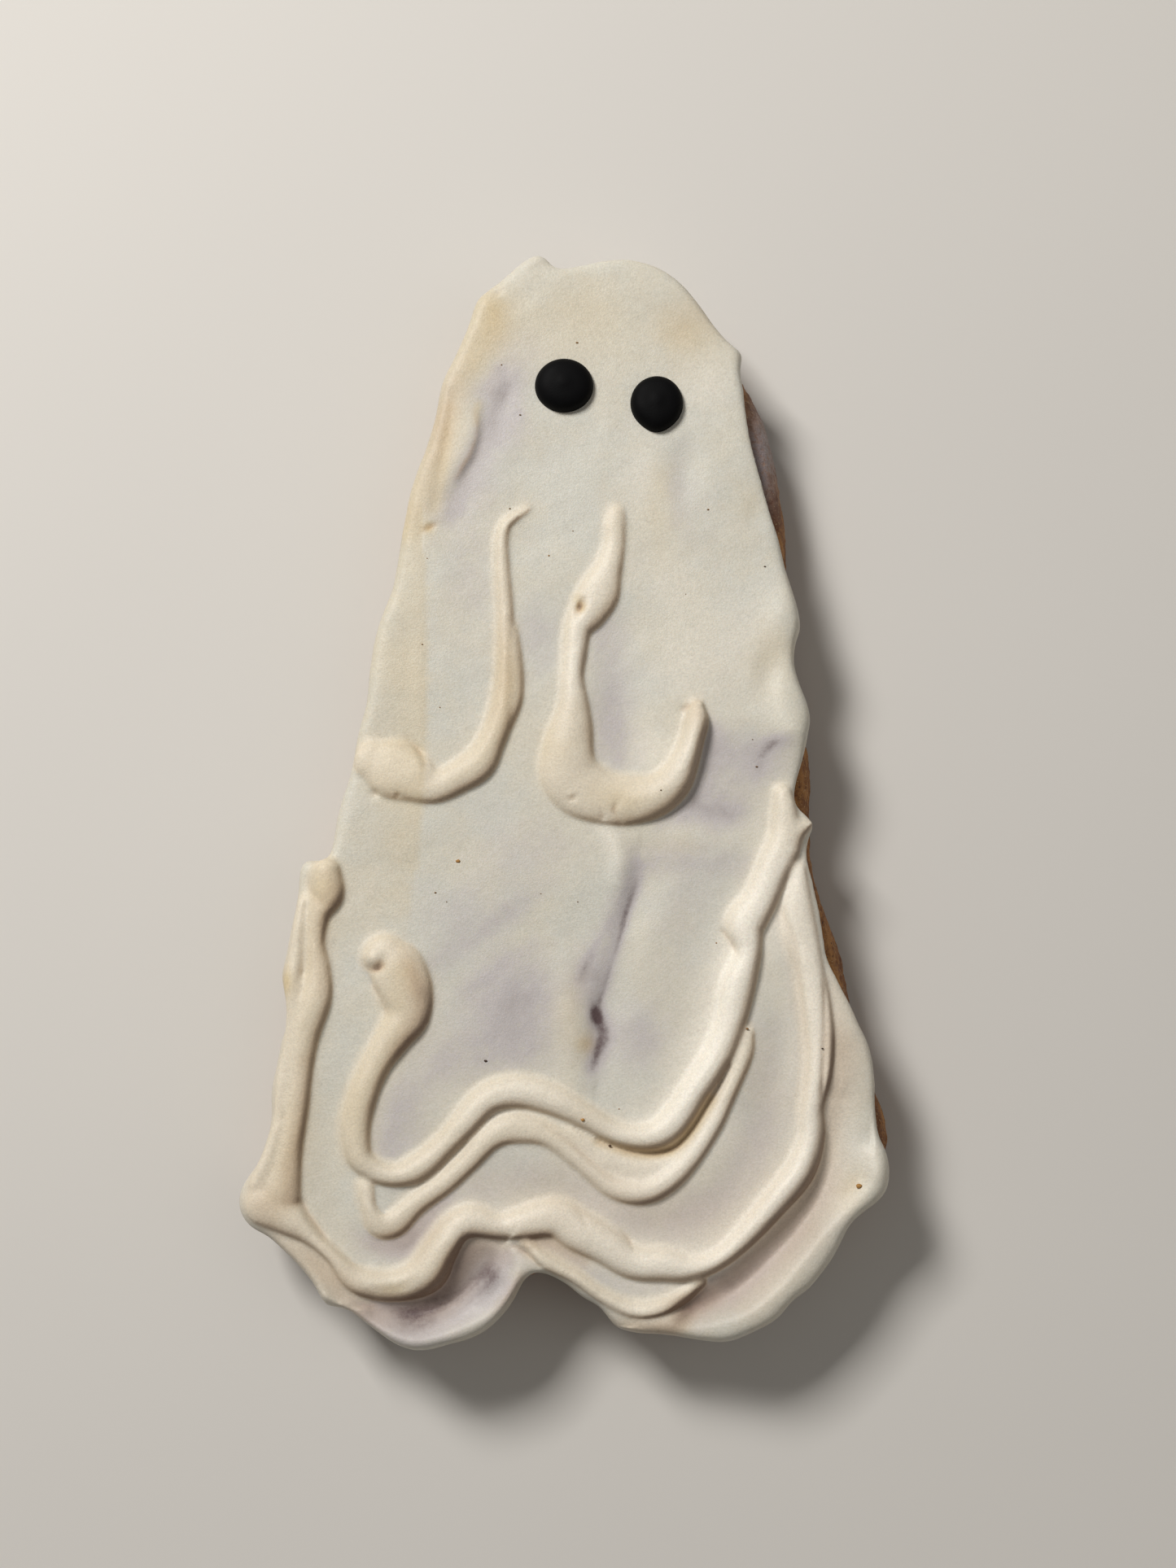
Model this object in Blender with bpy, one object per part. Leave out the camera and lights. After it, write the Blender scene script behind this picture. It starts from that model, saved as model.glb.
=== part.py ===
"""A ghost-shaped dog biscuit with thick piped icing, lying flat with its iced side up.

The plan is drawn in millimetres with +Y towards the head and +X to the right, and every length
below is in millimetres until a mesh is made. The finished part is in metres, its origin at the
middle of its footprint, on the surface that it lies on.
"""

import math

import bmesh
import bpy
from mathutils import Vector, geometry, noise

MM = 0.001

# Baked biscuit
BISCUIT_THICKNESS = 9.0
BISCUIT_SAMPLES = 130
BISCUIT_CRUMB = 0.22
# Inset from the widest line and share of the thickness, from the underside up to the top
BISCUIT_PROFILE = ((1.3, 0.0), (0.35, 0.04), (0.0, 0.17), (0.35, 0.5), (0.8, 0.78), (1.5, 0.93), (2.5, 1.0))

# Icing
GAP = 0.3
COAT_THICKNESS = 1.4
COAT_TOP = BISCUIT_THICKNESS + GAP + COAT_THICKNESS
COAT_SAMPLES = 176
COAT_GRID = 2.3
COAT_MARGIN = 1.3
APRON_TOP = BISCUIT_THICKNESS - 0.6
APRON_DROP = 5.2
APRON_FULL_OVERRUN = 3.0
APRON_WAVE = 0.8
# Inset from the outline and share of the coat's height, from the top patch's edge down to the lip
COAT_PROFILE = ((2.3, 1.0), (1.1, 0.95), (0.3, 0.80), (0.0, 0.55), (0.0, 0.25), (0.35, 0.06), (1.1, 0.0))
COAT_CORE_INSET = 3.6
OVERRUN = 1.3

# The icing's edge, seen from above, clockwise from the left of the head
ICING_OUTLINE = (
    # head
    (-6.0, 52.3), (-2.4, 53.8), (2.6, 54.2), (7.0, 54.5), (10.6, 53.1), (13.8, 49.6), (17.0, 45.4),
    # right side
    (18.1, 41.0), (18.8, 37.0), (20.1, 30.6), (22.0, 23.6), (23.8, 17.2), (23.1, 12.0), (24.5, 6.2),
    (23.4, 1.6), (23.2, -2.6), (24.2, -8.0), (25.9, -16.3), (27.4, -20.7), (29.8, -25.4),
    (30.4, -30.5), (30.8, -35.1), (31.5, -38.0), (30.6, -40.5), (27.5, -43.0),
    # right foot
    (25.1, -47.1), (21.5, -50.9), (17.5, -53.5), (11.0, -54.0), (6.4, -53.1), (3.8, -50.9), (1.0, -48.8),
    # notch
    (-2.3, -47.1), (-4.6, -49.6),
    # left foot
    (-7.6, -53.0), (-13.6, -54.5), (-18.0, -52.7), (-22.5, -49.3), (-26.4, -45.6), (-30.0, -43.0),
    (-31.4, -40.6), (-30.0, -37.0),
    # left side
    (-28.3, -32.0), (-28.0, -27.5), (-26.9, -22.0), (-26.9, -17.0), (-26.2, -11.5), (-23.8, -6.8),
    (-22.3, -2.6), (-20.6, 5.3), (-19.3, 12.5), (-17.4, 20.0), (-15.9, 28.0), (-14.5, 33.5),
    (-12.7, 39.9), (-10.4, 45.4), (-8.2, 50.2),
)

# Tips that stand out of the icing's edge: place, reach and half width
TIPS = (
    (-2.4, 53.8, 1.3, 1.5),
    (17.3, 45.0, 0.7, 1.2),
    (23.4, -3.6, 1.3, 1.1),
    (-27.0, -18.3, 0.9, 1.6),
    (-22.2, -49.6, 0.9, 1.2),
)

# Stretches where the biscuit shows past the icing: place, how far it comes out there, half length
BARE_EDGES = (
    (20.5, 39.0, 3.6, 7.0),
    (22.5, 28.0, 3.2, 8.0),
    (25.0, 0.5, 3.2, 8.0),
    (27.0, -16.5, 3.2, 8.5),
    (32.0, -34.5, 3.9, 5.5),
)

# Piped lines: x, y and half width along each line
PIPED_LINES = {
    "left_arm": (
        (-3.7, 27.7, 0.4), (-6.2, 23.8, 0.8), (-6.0, 18.1, 1.0), (-5.4, 12.0, 1.3), (-5.6, 8.0, 1.4),
        (-7.8, 3.2, 1.6), (-12.2, 0.0, 1.7), (-16.8, 1.6, 2.6),
    ),
    "right_arm": (
        (5.3, 27.0, 0.8), (5.0, 23.5, 1.1), (3.3, 19.0, 1.6), (1.5, 15.2, 1.0), (0.8, 10.0, 1.2),
        (0.5, 4.6, 2.4), (1.4, 0.0, 2.5), (5.8, -1.8, 2.2), (10.2, 0.6, 1.9), (12.4, 4.4, 1.3),
        (12.8, 8.0, 0.5),
    ),
    "curl": (
        (-17.0, -16.6, 2.1), (-14.8, -19.5, 2.2), (-15.6, -23.5, 2.1), (-18.6, -28.4, 1.7),
        (-20.0, -33.3, 1.4), (-18.4, -37.2, 1.2), (-14.6, -37.7, 1.0), (-9.4, -32.9, 1.3),
        (-5.0, -29.9, 1.6), (-0.6, -30.8, 1.6), (4.8, -33.7, 1.4), (9.0, -34.2, 1.4),
        (11.6, -31.6, 1.7), (15.4, -24.4, 1.7), (17.4, -16.4, 1.8), (20.2, -9.0, 1.6),
        (21.8, -3.8, 1.5), (21.3, -0.4, 0.6),
    ),
    "second": (
        (-18.9, -38.3, 0.7), (-18.6, -41.4, 1.0), (-16.6, -42.6, 1.0), (-12.2, -39.4, 1.0),
        (-7.6, -35.3, 1.0), (-3.5, -33.7, 1.3), (0.4, -35.6, 1.4), (4.6, -38.8, 1.4), (8.6, -39.0, 1.4),
        (12.4, -35.8, 1.2), (15.3, -30.2, 1.1), (17.2, -23.6, 0.8),
    ),
    "left_border": (
        (-23.6, -9.5, 2.1), (-24.3, -13.4, 1.5), (-24.2, -19.4, 1.8), (-25.8, -26.4, 1.6),
        (-26.4, -32.4, 1.5), (-27.2, -37.4, 1.7), (-28.6, -40.2, 2.2),
    ),
    "hem": (
        (-27.4, -41.4, 2.2), (-23.4, -44.6, 1.3), (-19.4, -47.9, 1.4), (-15.2, -48.4, 1.6),
        (-12.0, -45.6, 1.6), (-8.9, -42.5, 1.4), (-5.6, -42.8, 1.3), (-0.8, -42.0, 1.8),
        (2.4, -44.3, 1.6), (5.7, -45.6, 1.8), (12.3, -46.6, 1.3), (18.2, -43.1, 1.4),
        (22.3, -37.8, 1.4), (23.8, -32.0, 1.1), (24.8, -26.6, 1.3), (24.4, -18.6, 1.2),
        (22.9, -12.6, 1.7), (22.8, -7.6, 0.9),
    ),
    "toe": (
        (-2.8, -45.2, 0.6), (1.6, -47.7, 0.8), (6.4, -50.5, 0.7), (10.8, -49.7, 0.7), (12.8, -48.8, 0.5),
    ),
}
BEAD_SIDES = 8
BEAD_STEP = 2.1
BEAD_RISE = 0.2
BEAD_FLATNESS = 0.85
BEAD_MOST_RADIUS = 1.9
BEAD_FOOT = 0.9

# Ridges (height above zero) and grooves (below zero) brushed into the coat: height, half width, route
FOLDS = (
    (0.55, 2.2, ((-7.9, 49.5), (-10.3, 43.4), (-11.5, 37.4), (-12.7, 33.3), (-14.2, 27.3))),
    (-0.55, 1.6, ((6.2, -7.7), (5.8, -13.3), (4.2, -18.8), (3.3, -22.4), (3.0, -26.7))),
    (0.35, 1.9, ((0.8, -15.0), (0.8, -22.0), (1.0, -28.0))),
    (0.85, 1.5, ((-18.6, -51.0), (-14.0, -52.9), (-9.8, -52.6), (-6.0, -50.0), (-3.8, -46.6))),
    (-0.45, 2.4, ((-14.5, -50.2), (-9.5, -48.8), (-6.6, -46.4))),
    (0.80, 1.6, ((29.8, -37.2), (26.6, -42.8), (23.6, -46.4), (20.0, -49.6), (15.3, -51.8), (9.3, -52.4))),
    (-0.45, 2.4, ((14.5, -49.2), (19.0, -46.8), (23.6, -42.0))),
    (0.35, 2.4, ((22.0, 19.0), (21.0, 12.0), (21.8, 5.5))),
    (-0.25, 4.5, ((3.6, 14.0), (5.0, 4.0))),
)

# Eyes: place, width across and along, height, how far the lower end is drawn to a point
EYES = {
    "eye_left": (0.0, 40.3, 5.9, 5.5, 1.9, 0.0),
    "eye_right": (9.3, 38.4, 5.3, 5.5, 1.8, 0.5),
}
EYE_SIDES = 24
EYE_RINGS = ((1.0, 0.0), (1.0, 0.28), (0.93, 0.55), (0.74, 0.80), (0.45, 0.95), (0.16, 1.02))
EYE_TIP = 1.12
EYE_SEAT_MARGIN = 0.8
EYE_SEAT_BLEND = 2.2


def clear_scene():
    """Remove every object of the scene."""
    for obj in list(bpy.data.objects):
        bpy.data.objects.remove(obj, do_unlink=True)


def make_material(name, colour, roughness):
    """Return a plain Principled material."""
    material = bpy.data.materials.new(name)
    material.use_nodes = True
    shader = material.node_tree.nodes["Principled BSDF"]
    shader.inputs["Base Color"].default_value = (*colour, 1.0)
    shader.inputs["Roughness"].default_value = roughness
    shader.inputs["Metallic"].default_value = 0.0
    return material


def catmull_rom(before, start, end, after, t):
    """Return the point at t, from 0 to 1, between start and end on a Catmull-Rom curve."""
    return 0.5 * (
        2.0 * start
        + (end - before) * t
        + (2.0 * before - 5.0 * start + 4.0 * end - after) * t * t
        + (3.0 * start - before - 3.0 * end + after) * t * t * t
    )


def evenly_spaced(dense, count, closed):
    """Return count points at equal steps of plan length along a dense polyline."""
    loop = dense + dense[:1] if closed else dense
    reached = [0.0]
    for a, b in zip(loop, loop[1:]):
        reached.append(reached[-1] + (b.xy - a.xy).length)
    steps = count if closed else count - 1
    points = []
    k = 0
    for i in range(count):
        target = reached[-1] * i / steps
        while k < len(loop) - 2 and reached[k + 1] < target:
            k += 1
        span = max(reached[k + 1] - reached[k], 1e-9)
        points.append(loop[k].lerp(loop[k + 1], min(1.0, (target - reached[k]) / span)))
    return points


def smooth_line(route, step):
    """Return points about step apart on a smooth open curve through the route."""
    knots = [Vector(p) for p in route]
    knots = [2.0 * knots[0] - knots[1]] + knots + [2.0 * knots[-1] - knots[-2]]
    dense = []
    for four in zip(knots, knots[1:], knots[2:], knots[3:]):
        dense += [catmull_rom(*four, k / 12) for k in range(12)]
    dense.append(knots[-2])
    length = sum((b.xy - a.xy).length for a, b in zip(dense, dense[1:]))
    return evenly_spaced(dense, max(3, round(length / step) + 1), closed=False)


def smooth_loop(outline, count):
    """Return count even points on a smooth closed curve through the outline, anticlockwise."""
    knots = [Vector(p) for p in reversed(outline)]
    n = len(knots)
    dense = []
    for i in range(n):
        four = [knots[(i + k) % n] for k in (-1, 0, 1, 2)]
        dense += [catmull_rom(*four, k / 12) for k in range(12)]
    return evenly_spaced(dense, count, closed=True)


def outward(loop):
    """Return the outward unit normal at each point of an anticlockwise loop."""
    n = len(loop)
    normals = []
    for i in range(n):
        along = (loop[(i + 1) % n] - loop[i - 1]).normalized()
        normals.append(Vector((along.y, -along.x)))
    return normals


def relaxed(loop, passes):
    """Return the loop after evening out its small corners."""
    for _ in range(passes):
        n = len(loop)
        loop = [0.5 * loop[i] + 0.25 * (loop[i - 1] + loop[(i + 1) % n]) for i in range(n)]
    return loop


def moved_out(loop, distances):
    """Return the loop with each point moved along its outward normal."""
    return [p + n * d for p, n, d in zip(loop, outward(loop), distances)]


def inset(loop, distance):
    """Return the loop moved inwards in small steps, so that tight corners stay open."""
    steps = max(1, math.ceil(distance / 0.5))
    for _ in range(steps):
        loop = relaxed(moved_out(loop, [-distance / steps] * len(loop)), 1)
    return loop


def bell(distance, half_width):
    """Return a smooth bump that is 1 at no distance and fades out past the half width."""
    return math.exp(-((distance / half_width) ** 2))


def distance_to_route(point, route):
    """Return the plan distance from a point to a polyline."""
    nearest = []
    for a, b in zip(route, route[1:]):
        foot, share = geometry.intersect_point_line(point, a, b)
        foot = a if share < 0.0 else b if share > 1.0 else foot.xy
        nearest.append((point - foot).length)
    return min(nearest)


def eye_seat(point):
    """Return 1 on the level seat under an eye, falling to 0 a little way out of it."""
    seat = 0.0
    for x, y, width, length, _, _ in EYES.values():
        radius = 0.5 * max(width, length) + EYE_SEAT_MARGIN
        beyond = (point - Vector((x, y))).length - radius
        seat = max(seat, min(1.0, 1.0 - beyond / EYE_SEAT_BLEND))
    return max(0.0, seat)


def coat_height(point):
    """Return the height of the brushed icing coat at a plan point."""
    relief = 0.18 * noise.noise(Vector((point.x * 0.16, point.y * 0.16, 2.0)))
    for height, half_width, route in FOLDS:
        line = [Vector(p) for p in route]
        relief += height * bell(distance_to_route(point, line), half_width)
    return COAT_TOP + relief * (1.0 - eye_seat(point))


def biscuit_outline(count):
    """Return the biscuit's widest line: inside the icing's edge, except where the side is bare."""
    edge = relaxed(smooth_loop(ICING_OUTLINE, count), 3)
    moves = []
    for p in edge:
        shown = sum(out * bell((p - Vector((x, y))).length, half) for x, y, out, half in BARE_EDGES)
        moves.append(shown - OVERRUN)
    return relaxed(moved_out(edge, moves), 3)


def biscuit_rings(grown, crumb):
    """Return the biscuit's rings of points from the underside up, grown outwards all over."""
    base = biscuit_outline(BISCUIT_SAMPLES)
    last = len(BISCUIT_PROFILE) - 1
    rings = []
    for k, (inward, share) in enumerate(BISCUIT_PROFILE):
        height = BISCUIT_THICKNESS * share
        ring = inset(base, inward) if inward > 0.0 else base
        swell = [grown] * len(ring)
        if 0 < k < last:
            swell = [grown + crumb * noise.noise(Vector((p.x, p.y, height)) * 0.45) for p in ring]
        z = -grown if k == 0 else height + grown * k / last
        rings.append([Vector((p.x, p.y, z)) for p in moved_out(ring, swell)])
    return rings


def mesh_from_rings(name, rings, bottom, top):
    """Return an object lofted through the rings, its two ends closed by the given functions."""
    mesh = bmesh.new()
    columns = [[mesh.verts.new(p * MM) for p in ring] for ring in rings]
    n = len(rings[0])
    for low, high in zip(columns, columns[1:]):
        for i in range(n):
            j = (i + 1) % n
            mesh.faces.new((low[i], low[j], high[j], high[i]))
    bottom(mesh, columns[0][::-1])
    top(mesh, columns[-1])
    return object_from_bmesh(name, mesh)


def object_from_bmesh(name, mesh):
    """Return a new object with the mesh as triangles, facing out."""
    bmesh.ops.triangulate(mesh, faces=mesh.faces[:])
    bmesh.ops.recalc_face_normals(mesh, faces=mesh.faces[:])
    data = bpy.data.meshes.new(name)
    mesh.to_mesh(data)
    mesh.free()
    obj = bpy.data.objects.new(name, data)
    bpy.context.scene.collection.objects.link(obj)
    return obj


def flat_cap(mesh, ring):
    """Close a level ring with one face."""
    mesh.faces.new(ring)


def grid_cap(spacing, margin, height_at):
    """Return a cap that fills a ring with a triangle grid whose height follows height_at."""

    def cap(mesh, ring):
        rim = [v.co.xy / MM for v in ring]
        low_x, high_x = min(p.x for p in rim), max(p.x for p in rim)
        low_y, high_y = min(p.y for p in rim), max(p.y for p in rim)
        closed_rim = rim + rim[:1]
        inner = []
        row_height = spacing * math.sqrt(0.75)
        for row in range(int((high_y - low_y) / row_height) + 1):
            y = low_y + row * row_height
            for column in range(int((high_x - low_x) / spacing) + 2):
                point = Vector((low_x + (column - 0.5 * (row % 2)) * spacing, y))
                if is_inside(point, rim) and distance_to_route(point, closed_rim) > margin:
                    inner.append(point)
        n = len(rim)
        edges = [(i, (i + 1) % n) for i in range(n)]
        found = geometry.delaunay_2d_cdt(rim + inner, edges, [], 1, 1e-6)
        places, triangles, origins = found[0], found[2], found[3]
        verts = []
        for place, origin in zip(places, origins):
            on_rim = [k for k in origin if k < n]
            if on_rim:
                verts.append(ring[on_rim[0]])
            else:
                verts.append(mesh.verts.new(Vector((place.x, place.y, height_at(place))) * MM))
        for a, b, c in triangles:
            mesh.faces.new((verts[a], verts[b], verts[c]))

    return cap


def is_inside(point, loop):
    """Return whether a plan point lies inside a loop."""
    inside = False
    for a, b in zip(loop, loop[1:] + loop[:1]):
        if (a.y > point.y) != (b.y > point.y):
            if point.x < a.x + (b.x - a.x) * (point.y - a.y) / (b.y - a.y):
                inside = not inside
    return inside


def coat_rings(edge, lip):
    """Return the coat's rings from its lower core up to the edge of its top patch."""
    tips = []
    for p in edge:
        tips.append(max(reach * bell((p - Vector((x, y))).length, half) for x, y, reach, half in TIPS))
    rings = []
    for inward, share in COAT_PROFILE:
        ring = inset(edge, inward) if inward > 0.0 else edge
        tip_share = 1.0 - min(1.0, inward)
        ring = moved_out(ring, [t * tip_share for t in tips])
        level = []
        for p, low in zip(ring, lip):
            top = coat_height(p)
            level.append(Vector((p.x, p.y, low + (top - low) * share)))
        rings.append(level)
    core = [Vector((p.x, p.y, low)) for p, low in zip(inset(edge, COAT_CORE_INSET), lip)]
    return [core] + rings[::-1]


def lip_heights(edge):
    """Return how low the icing hangs at each point of its edge: deep where it overruns the biscuit."""
    top_edge = [p.xy for p in biscuit_rings(0.0, 0.0)[-2]]
    closed_edge = top_edge + top_edge[:1]
    heights = []
    for p in edge:
        beyond = distance_to_route(p, closed_edge)
        if is_inside(p, top_edge):
            beyond = -beyond
        share = min(1.0, max(0.0, beyond / APRON_FULL_OVERRUN))
        share = share * share * (3.0 - 2.0 * share)
        wave = APRON_WAVE * noise.noise(Vector((p.x * 0.13, p.y * 0.13, 7.0)))
        heights.append(APRON_TOP - share * (APRON_DROP + wave))
    n = len(heights)
    for _ in range(4):
        heights = [0.5 * heights[i] + 0.25 * (heights[i - 1] + heights[(i + 1) % n]) for i in range(n)]
    return heights


def make_coat():
    """Return the icing coat as one solid whose underside is still to be cut to the biscuit."""
    edge = smooth_loop(ICING_OUTLINE, COAT_SAMPLES)
    rings = coat_rings(edge, lip_heights(edge))
    return mesh_from_rings("icing", rings, flat_cap, grid_cap(COAT_GRID, COAT_MARGIN, coat_height))


def bead_ring(point, along, radius):
    """Return one cross-section of a piped line that lies on the coat."""
    across = Vector((-along.y, along.x))
    surface = coat_height(point.xy)
    rise = min(radius, BEAD_MOST_RADIUS)
    ring = []
    for k in range(BEAD_SIDES):
        angle = 2.0 * math.pi * k / BEAD_SIDES
        place = point.xy + across * radius * math.cos(angle)
        z = surface + rise * (BEAD_RISE + BEAD_FLATNESS * math.sin(angle))
        ring.append(Vector((place.x, place.y, max(z, surface - BEAD_FOOT))))
    return ring


def point_cap(tip):
    """Return a cap that draws a ring together at one point."""

    def cap(mesh, ring):
        apex = mesh.verts.new(tip * MM)
        for a, b in zip(ring, ring[1:] + ring[:1]):
            mesh.faces.new((a, b, apex))

    return cap


def make_bead(name, route):
    """Return one piped line: a tube of changing width with rounded ends."""
    line = smooth_line(route, BEAD_STEP)
    tangents = [(b.xy - a.xy).normalized() for a, b in zip([line[0]] + line, line[1:] + [line[-1]])]
    rings = [bead_ring(p, t, p.z) for p, t in zip(line, tangents)]
    for end, sign in ((0, -1.0), (-1, 1.0)):
        middle, along, radius = line[end], tangents[end] * sign, line[end].z
        round_off = Vector((*(middle.xy + along * radius * 0.7), 0.0))
        extra = bead_ring(round_off, tangents[end], radius * 0.72)
        rings = [extra] + rings if end == 0 else rings + [extra]
    tips = []
    for end, sign in ((0, -1.0), (-1, 1.0)):
        place = line[end].xy + tangents[end] * sign * line[end].z
        rise = min(line[end].z, BEAD_MOST_RADIUS) * BEAD_RISE
        tips.append(Vector((place.x, place.y, coat_height(place) + rise)))
    return mesh_from_rings(name, rings, point_cap(tips[0]), point_cap(tips[1]))


def apply_boolean(obj, operation, **operand):
    """Apply one Boolean to an object."""
    cut = obj.modifiers.new(operation.lower(), "BOOLEAN")
    cut.operation = operation
    cut.solver = "EXACT"
    for key, value in operand.items():
        setattr(cut, key, value)
    bpy.context.view_layer.update()
    graph = bpy.context.evaluated_depsgraph_get()
    result = bpy.data.meshes.new_from_object(obj.evaluated_get(graph))
    obj.modifiers.clear()
    obj.data = result
    result.name = obj.name


def shells(mesh):
    """Return the mesh's connected shells, each as a set of vertices."""
    left = set(mesh.verts)
    found = []
    while left:
        front = [left.pop()]
        shell = set(front)
        while front:
            for edge in front.pop().link_edges:
                for vert in edge.verts:
                    if vert in left:
                        left.remove(vert)
                        shell.add(vert)
                        front.append(vert)
        found.append(shell)
    return found


def tidy_mesh(obj):
    """Drop slivers, fill hollows that fusing sealed, and keep the mesh in triangles."""
    mesh = bmesh.new()
    mesh.from_mesh(obj.data)
    bmesh.ops.dissolve_degenerate(mesh, edges=mesh.edges[:], dist=0.01 * MM)
    for shell in sorted(shells(mesh), key=len)[:-1]:
        bmesh.ops.delete(mesh, geom=list(shell), context="VERTS")
    bmesh.ops.triangulate(mesh, faces=mesh.faces[:])
    mesh.to_mesh(obj.data)
    mesh.free()


def make_icing():
    """Return the icing: the coat with every piped line fused on, hollowed to clear the biscuit."""
    icing = make_coat()
    piping = bpy.data.collections.new("piping")
    bpy.context.scene.collection.children.link(piping)
    for name, route in PIPED_LINES.items():
        bead = make_bead(name, route)
        bpy.context.scene.collection.objects.unlink(bead)
        piping.objects.link(bead)
    apply_boolean(icing, "UNION", operand_type="COLLECTION", collection=piping)
    for bead in list(piping.objects):
        bpy.data.objects.remove(bead, do_unlink=True)
    bpy.data.collections.remove(piping)
    clearance = mesh_from_rings("clearance", biscuit_rings(GAP, BISCUIT_CRUMB), flat_cap, flat_cap)
    apply_boolean(icing, "DIFFERENCE", object=clearance)
    bpy.data.objects.remove(clearance, do_unlink=True)
    tidy_mesh(icing)
    return icing


def make_biscuit():
    """Return the baked biscuit under the icing."""
    return mesh_from_rings("biscuit", biscuit_rings(0.0, BISCUIT_CRUMB), flat_cap, flat_cap)


def make_eye(name, x, y, width, length, height, point):
    """Return one eye: a low dome with a small raised tip, just clear of the coat."""
    seat = COAT_TOP + GAP
    rings = []
    for spread, lift in EYE_RINGS:
        ring = []
        for k in range(EYE_SIDES):
            angle = 2.0 * math.pi * k / EYE_SIDES
            drawn = point * max(0.0, -math.sin(angle)) ** 6
            across = 0.5 * width * spread * math.cos(angle)
            along = (0.5 * length + drawn) * spread * math.sin(angle)
            ring.append(Vector((x + across, y + along, seat + height * lift)))
        rings.append(ring)
    tip = Vector((x, y, seat + height * EYE_TIP))
    return mesh_from_rings(name, rings, flat_cap, point_cap(tip))


def centre_on_base(objects):
    """Move all objects so that the origin is under the middle of the whole."""
    corners = [v.co for obj in objects for v in obj.data.vertices]
    middle = [0.5 * (min(c[k] for c in corners) + max(c[k] for c in corners)) for k in (0, 1)]
    shift = Vector((-middle[0], -middle[1], -min(c.z for c in corners)))
    for obj in objects:
        for v in obj.data.vertices:
            v.co += shift


def dress(obj, material, sharp_degrees):
    """Give an object its material and shade it smooth, except across sharp edges."""
    obj.data.materials.clear()
    obj.data.materials.append(material)
    obj.data.shade_smooth()
    obj.data.set_sharp_from_angle(angle=math.radians(sharp_degrees))


def main():
    """Build the biscuit, its icing and its two eyes."""
    clear_scene()
    crumb = make_material("baked_biscuit", (0.26, 0.14, 0.055), 0.85)
    cream = make_material("cream_icing", (0.74, 0.66, 0.54), 0.45)
    black = make_material("black_icing", (0.006, 0.006, 0.007), 0.30)
    biscuit = make_biscuit()
    icing = make_icing()
    eyes = [make_eye(name, *sizes) for name, sizes in EYES.items()]
    centre_on_base([biscuit, icing, *eyes])
    dress(biscuit, crumb, 50.0)
    dress(icing, cream, 50.0)
    for eye in eyes:
        dress(eye, black, 60.0)


main()
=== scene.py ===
"""The looks of a ghost-shaped dog biscuit with piped icing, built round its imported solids.

The plan is drawn in millimetres with +Y towards the head and +X to the right. Pieces are modelled
on the plan and moved into the part's own frame, in metres, when they are done.
"""

import logging
import math
from dataclasses import dataclass
from enum import Enum
from typing import Protocol, Sequence, Union

import bmesh
import bpy
import numpy as np
from mathutils import Euler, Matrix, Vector, noise


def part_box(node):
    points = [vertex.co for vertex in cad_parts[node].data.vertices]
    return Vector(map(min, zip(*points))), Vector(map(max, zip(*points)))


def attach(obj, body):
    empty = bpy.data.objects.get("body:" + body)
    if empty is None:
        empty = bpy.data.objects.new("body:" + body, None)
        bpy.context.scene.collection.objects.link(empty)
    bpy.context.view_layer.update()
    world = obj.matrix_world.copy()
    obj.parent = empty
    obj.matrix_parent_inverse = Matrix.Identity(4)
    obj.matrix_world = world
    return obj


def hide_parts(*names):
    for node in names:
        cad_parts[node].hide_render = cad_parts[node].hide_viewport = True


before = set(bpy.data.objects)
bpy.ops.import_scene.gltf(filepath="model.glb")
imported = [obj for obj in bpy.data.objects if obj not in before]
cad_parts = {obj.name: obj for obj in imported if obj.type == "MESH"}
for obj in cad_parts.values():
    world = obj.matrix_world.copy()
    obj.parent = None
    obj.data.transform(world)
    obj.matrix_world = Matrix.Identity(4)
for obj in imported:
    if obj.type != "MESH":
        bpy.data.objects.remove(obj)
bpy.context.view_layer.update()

LOG = logging.getLogger("dog_biscuit")

MM = 0.001
BODY = "root"
TINY = 1e-6

# Points drawn between two knots of a form, and of a line that only guides a mark
FORM_SPAN = 12
MARK_SPAN = 5

# The ways in which the soft icing slumped, towards the key light, and in which the coat was
# brushed, seen from above; painted shade goes on the lines' flanks that face away from the slump
SLUMP = np.array([-0.64, 0.77])
BRUSHED = np.array([0.64, 0.77])

# A screen colour in steps of 255, and the two values between which one look turns into another
Screen = tuple[int, int, int]
Span = tuple[float, float]


# ---------------------------------------------------------------------------------------------
# Lines and fields on the plan


def smoothstep(low: float, high: float, values: np.ndarray) -> np.ndarray:
    """Ease values from 0 at low to 1 at high.

    Args:
        low: where the result is 0.
        high: where the result is 1, which may lie below low.
        values: the values to ease.

    Returns:
        The eased values.
    """
    share = np.clip((values - low) / (high - low), 0.0, 1.0)
    return share * share * (3.0 - 2.0 * share)


def smooth_curve(knots: np.ndarray, closed: bool, per_span: int = FORM_SPAN) -> np.ndarray:
    """Draw a Catmull-Rom curve through knots.

    Args:
        knots: one row for each knot, with its place first and any other values after it.
        closed: whether the curve runs back to its first knot.
        per_span: how many points to draw between two knots.

    Returns:
        The points, one row each.
    """
    if closed:
        spans = len(knots)
        padded = np.vstack([knots[-1:], knots, knots[:2]])
    else:
        spans = len(knots) - 1
        padded = np.vstack([2 * knots[0] - knots[1], knots, 2 * knots[-1] - knots[-2]])
    t = (np.arange(per_span) / per_span)[:, None]
    parts = []
    for k in range(spans):
        before, start, end, after = padded[k:k + 4]
        bend = (2 * before - 5 * start + 4 * end - after) * t**2
        twist = (3 * start - before - 3 * end + after) * t**3
        parts.append(0.5 * (2 * start + (end - before) * t + bend + twist))
    if not closed:
        parts.append(knots[-1:])
    return np.vstack(parts)


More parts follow.
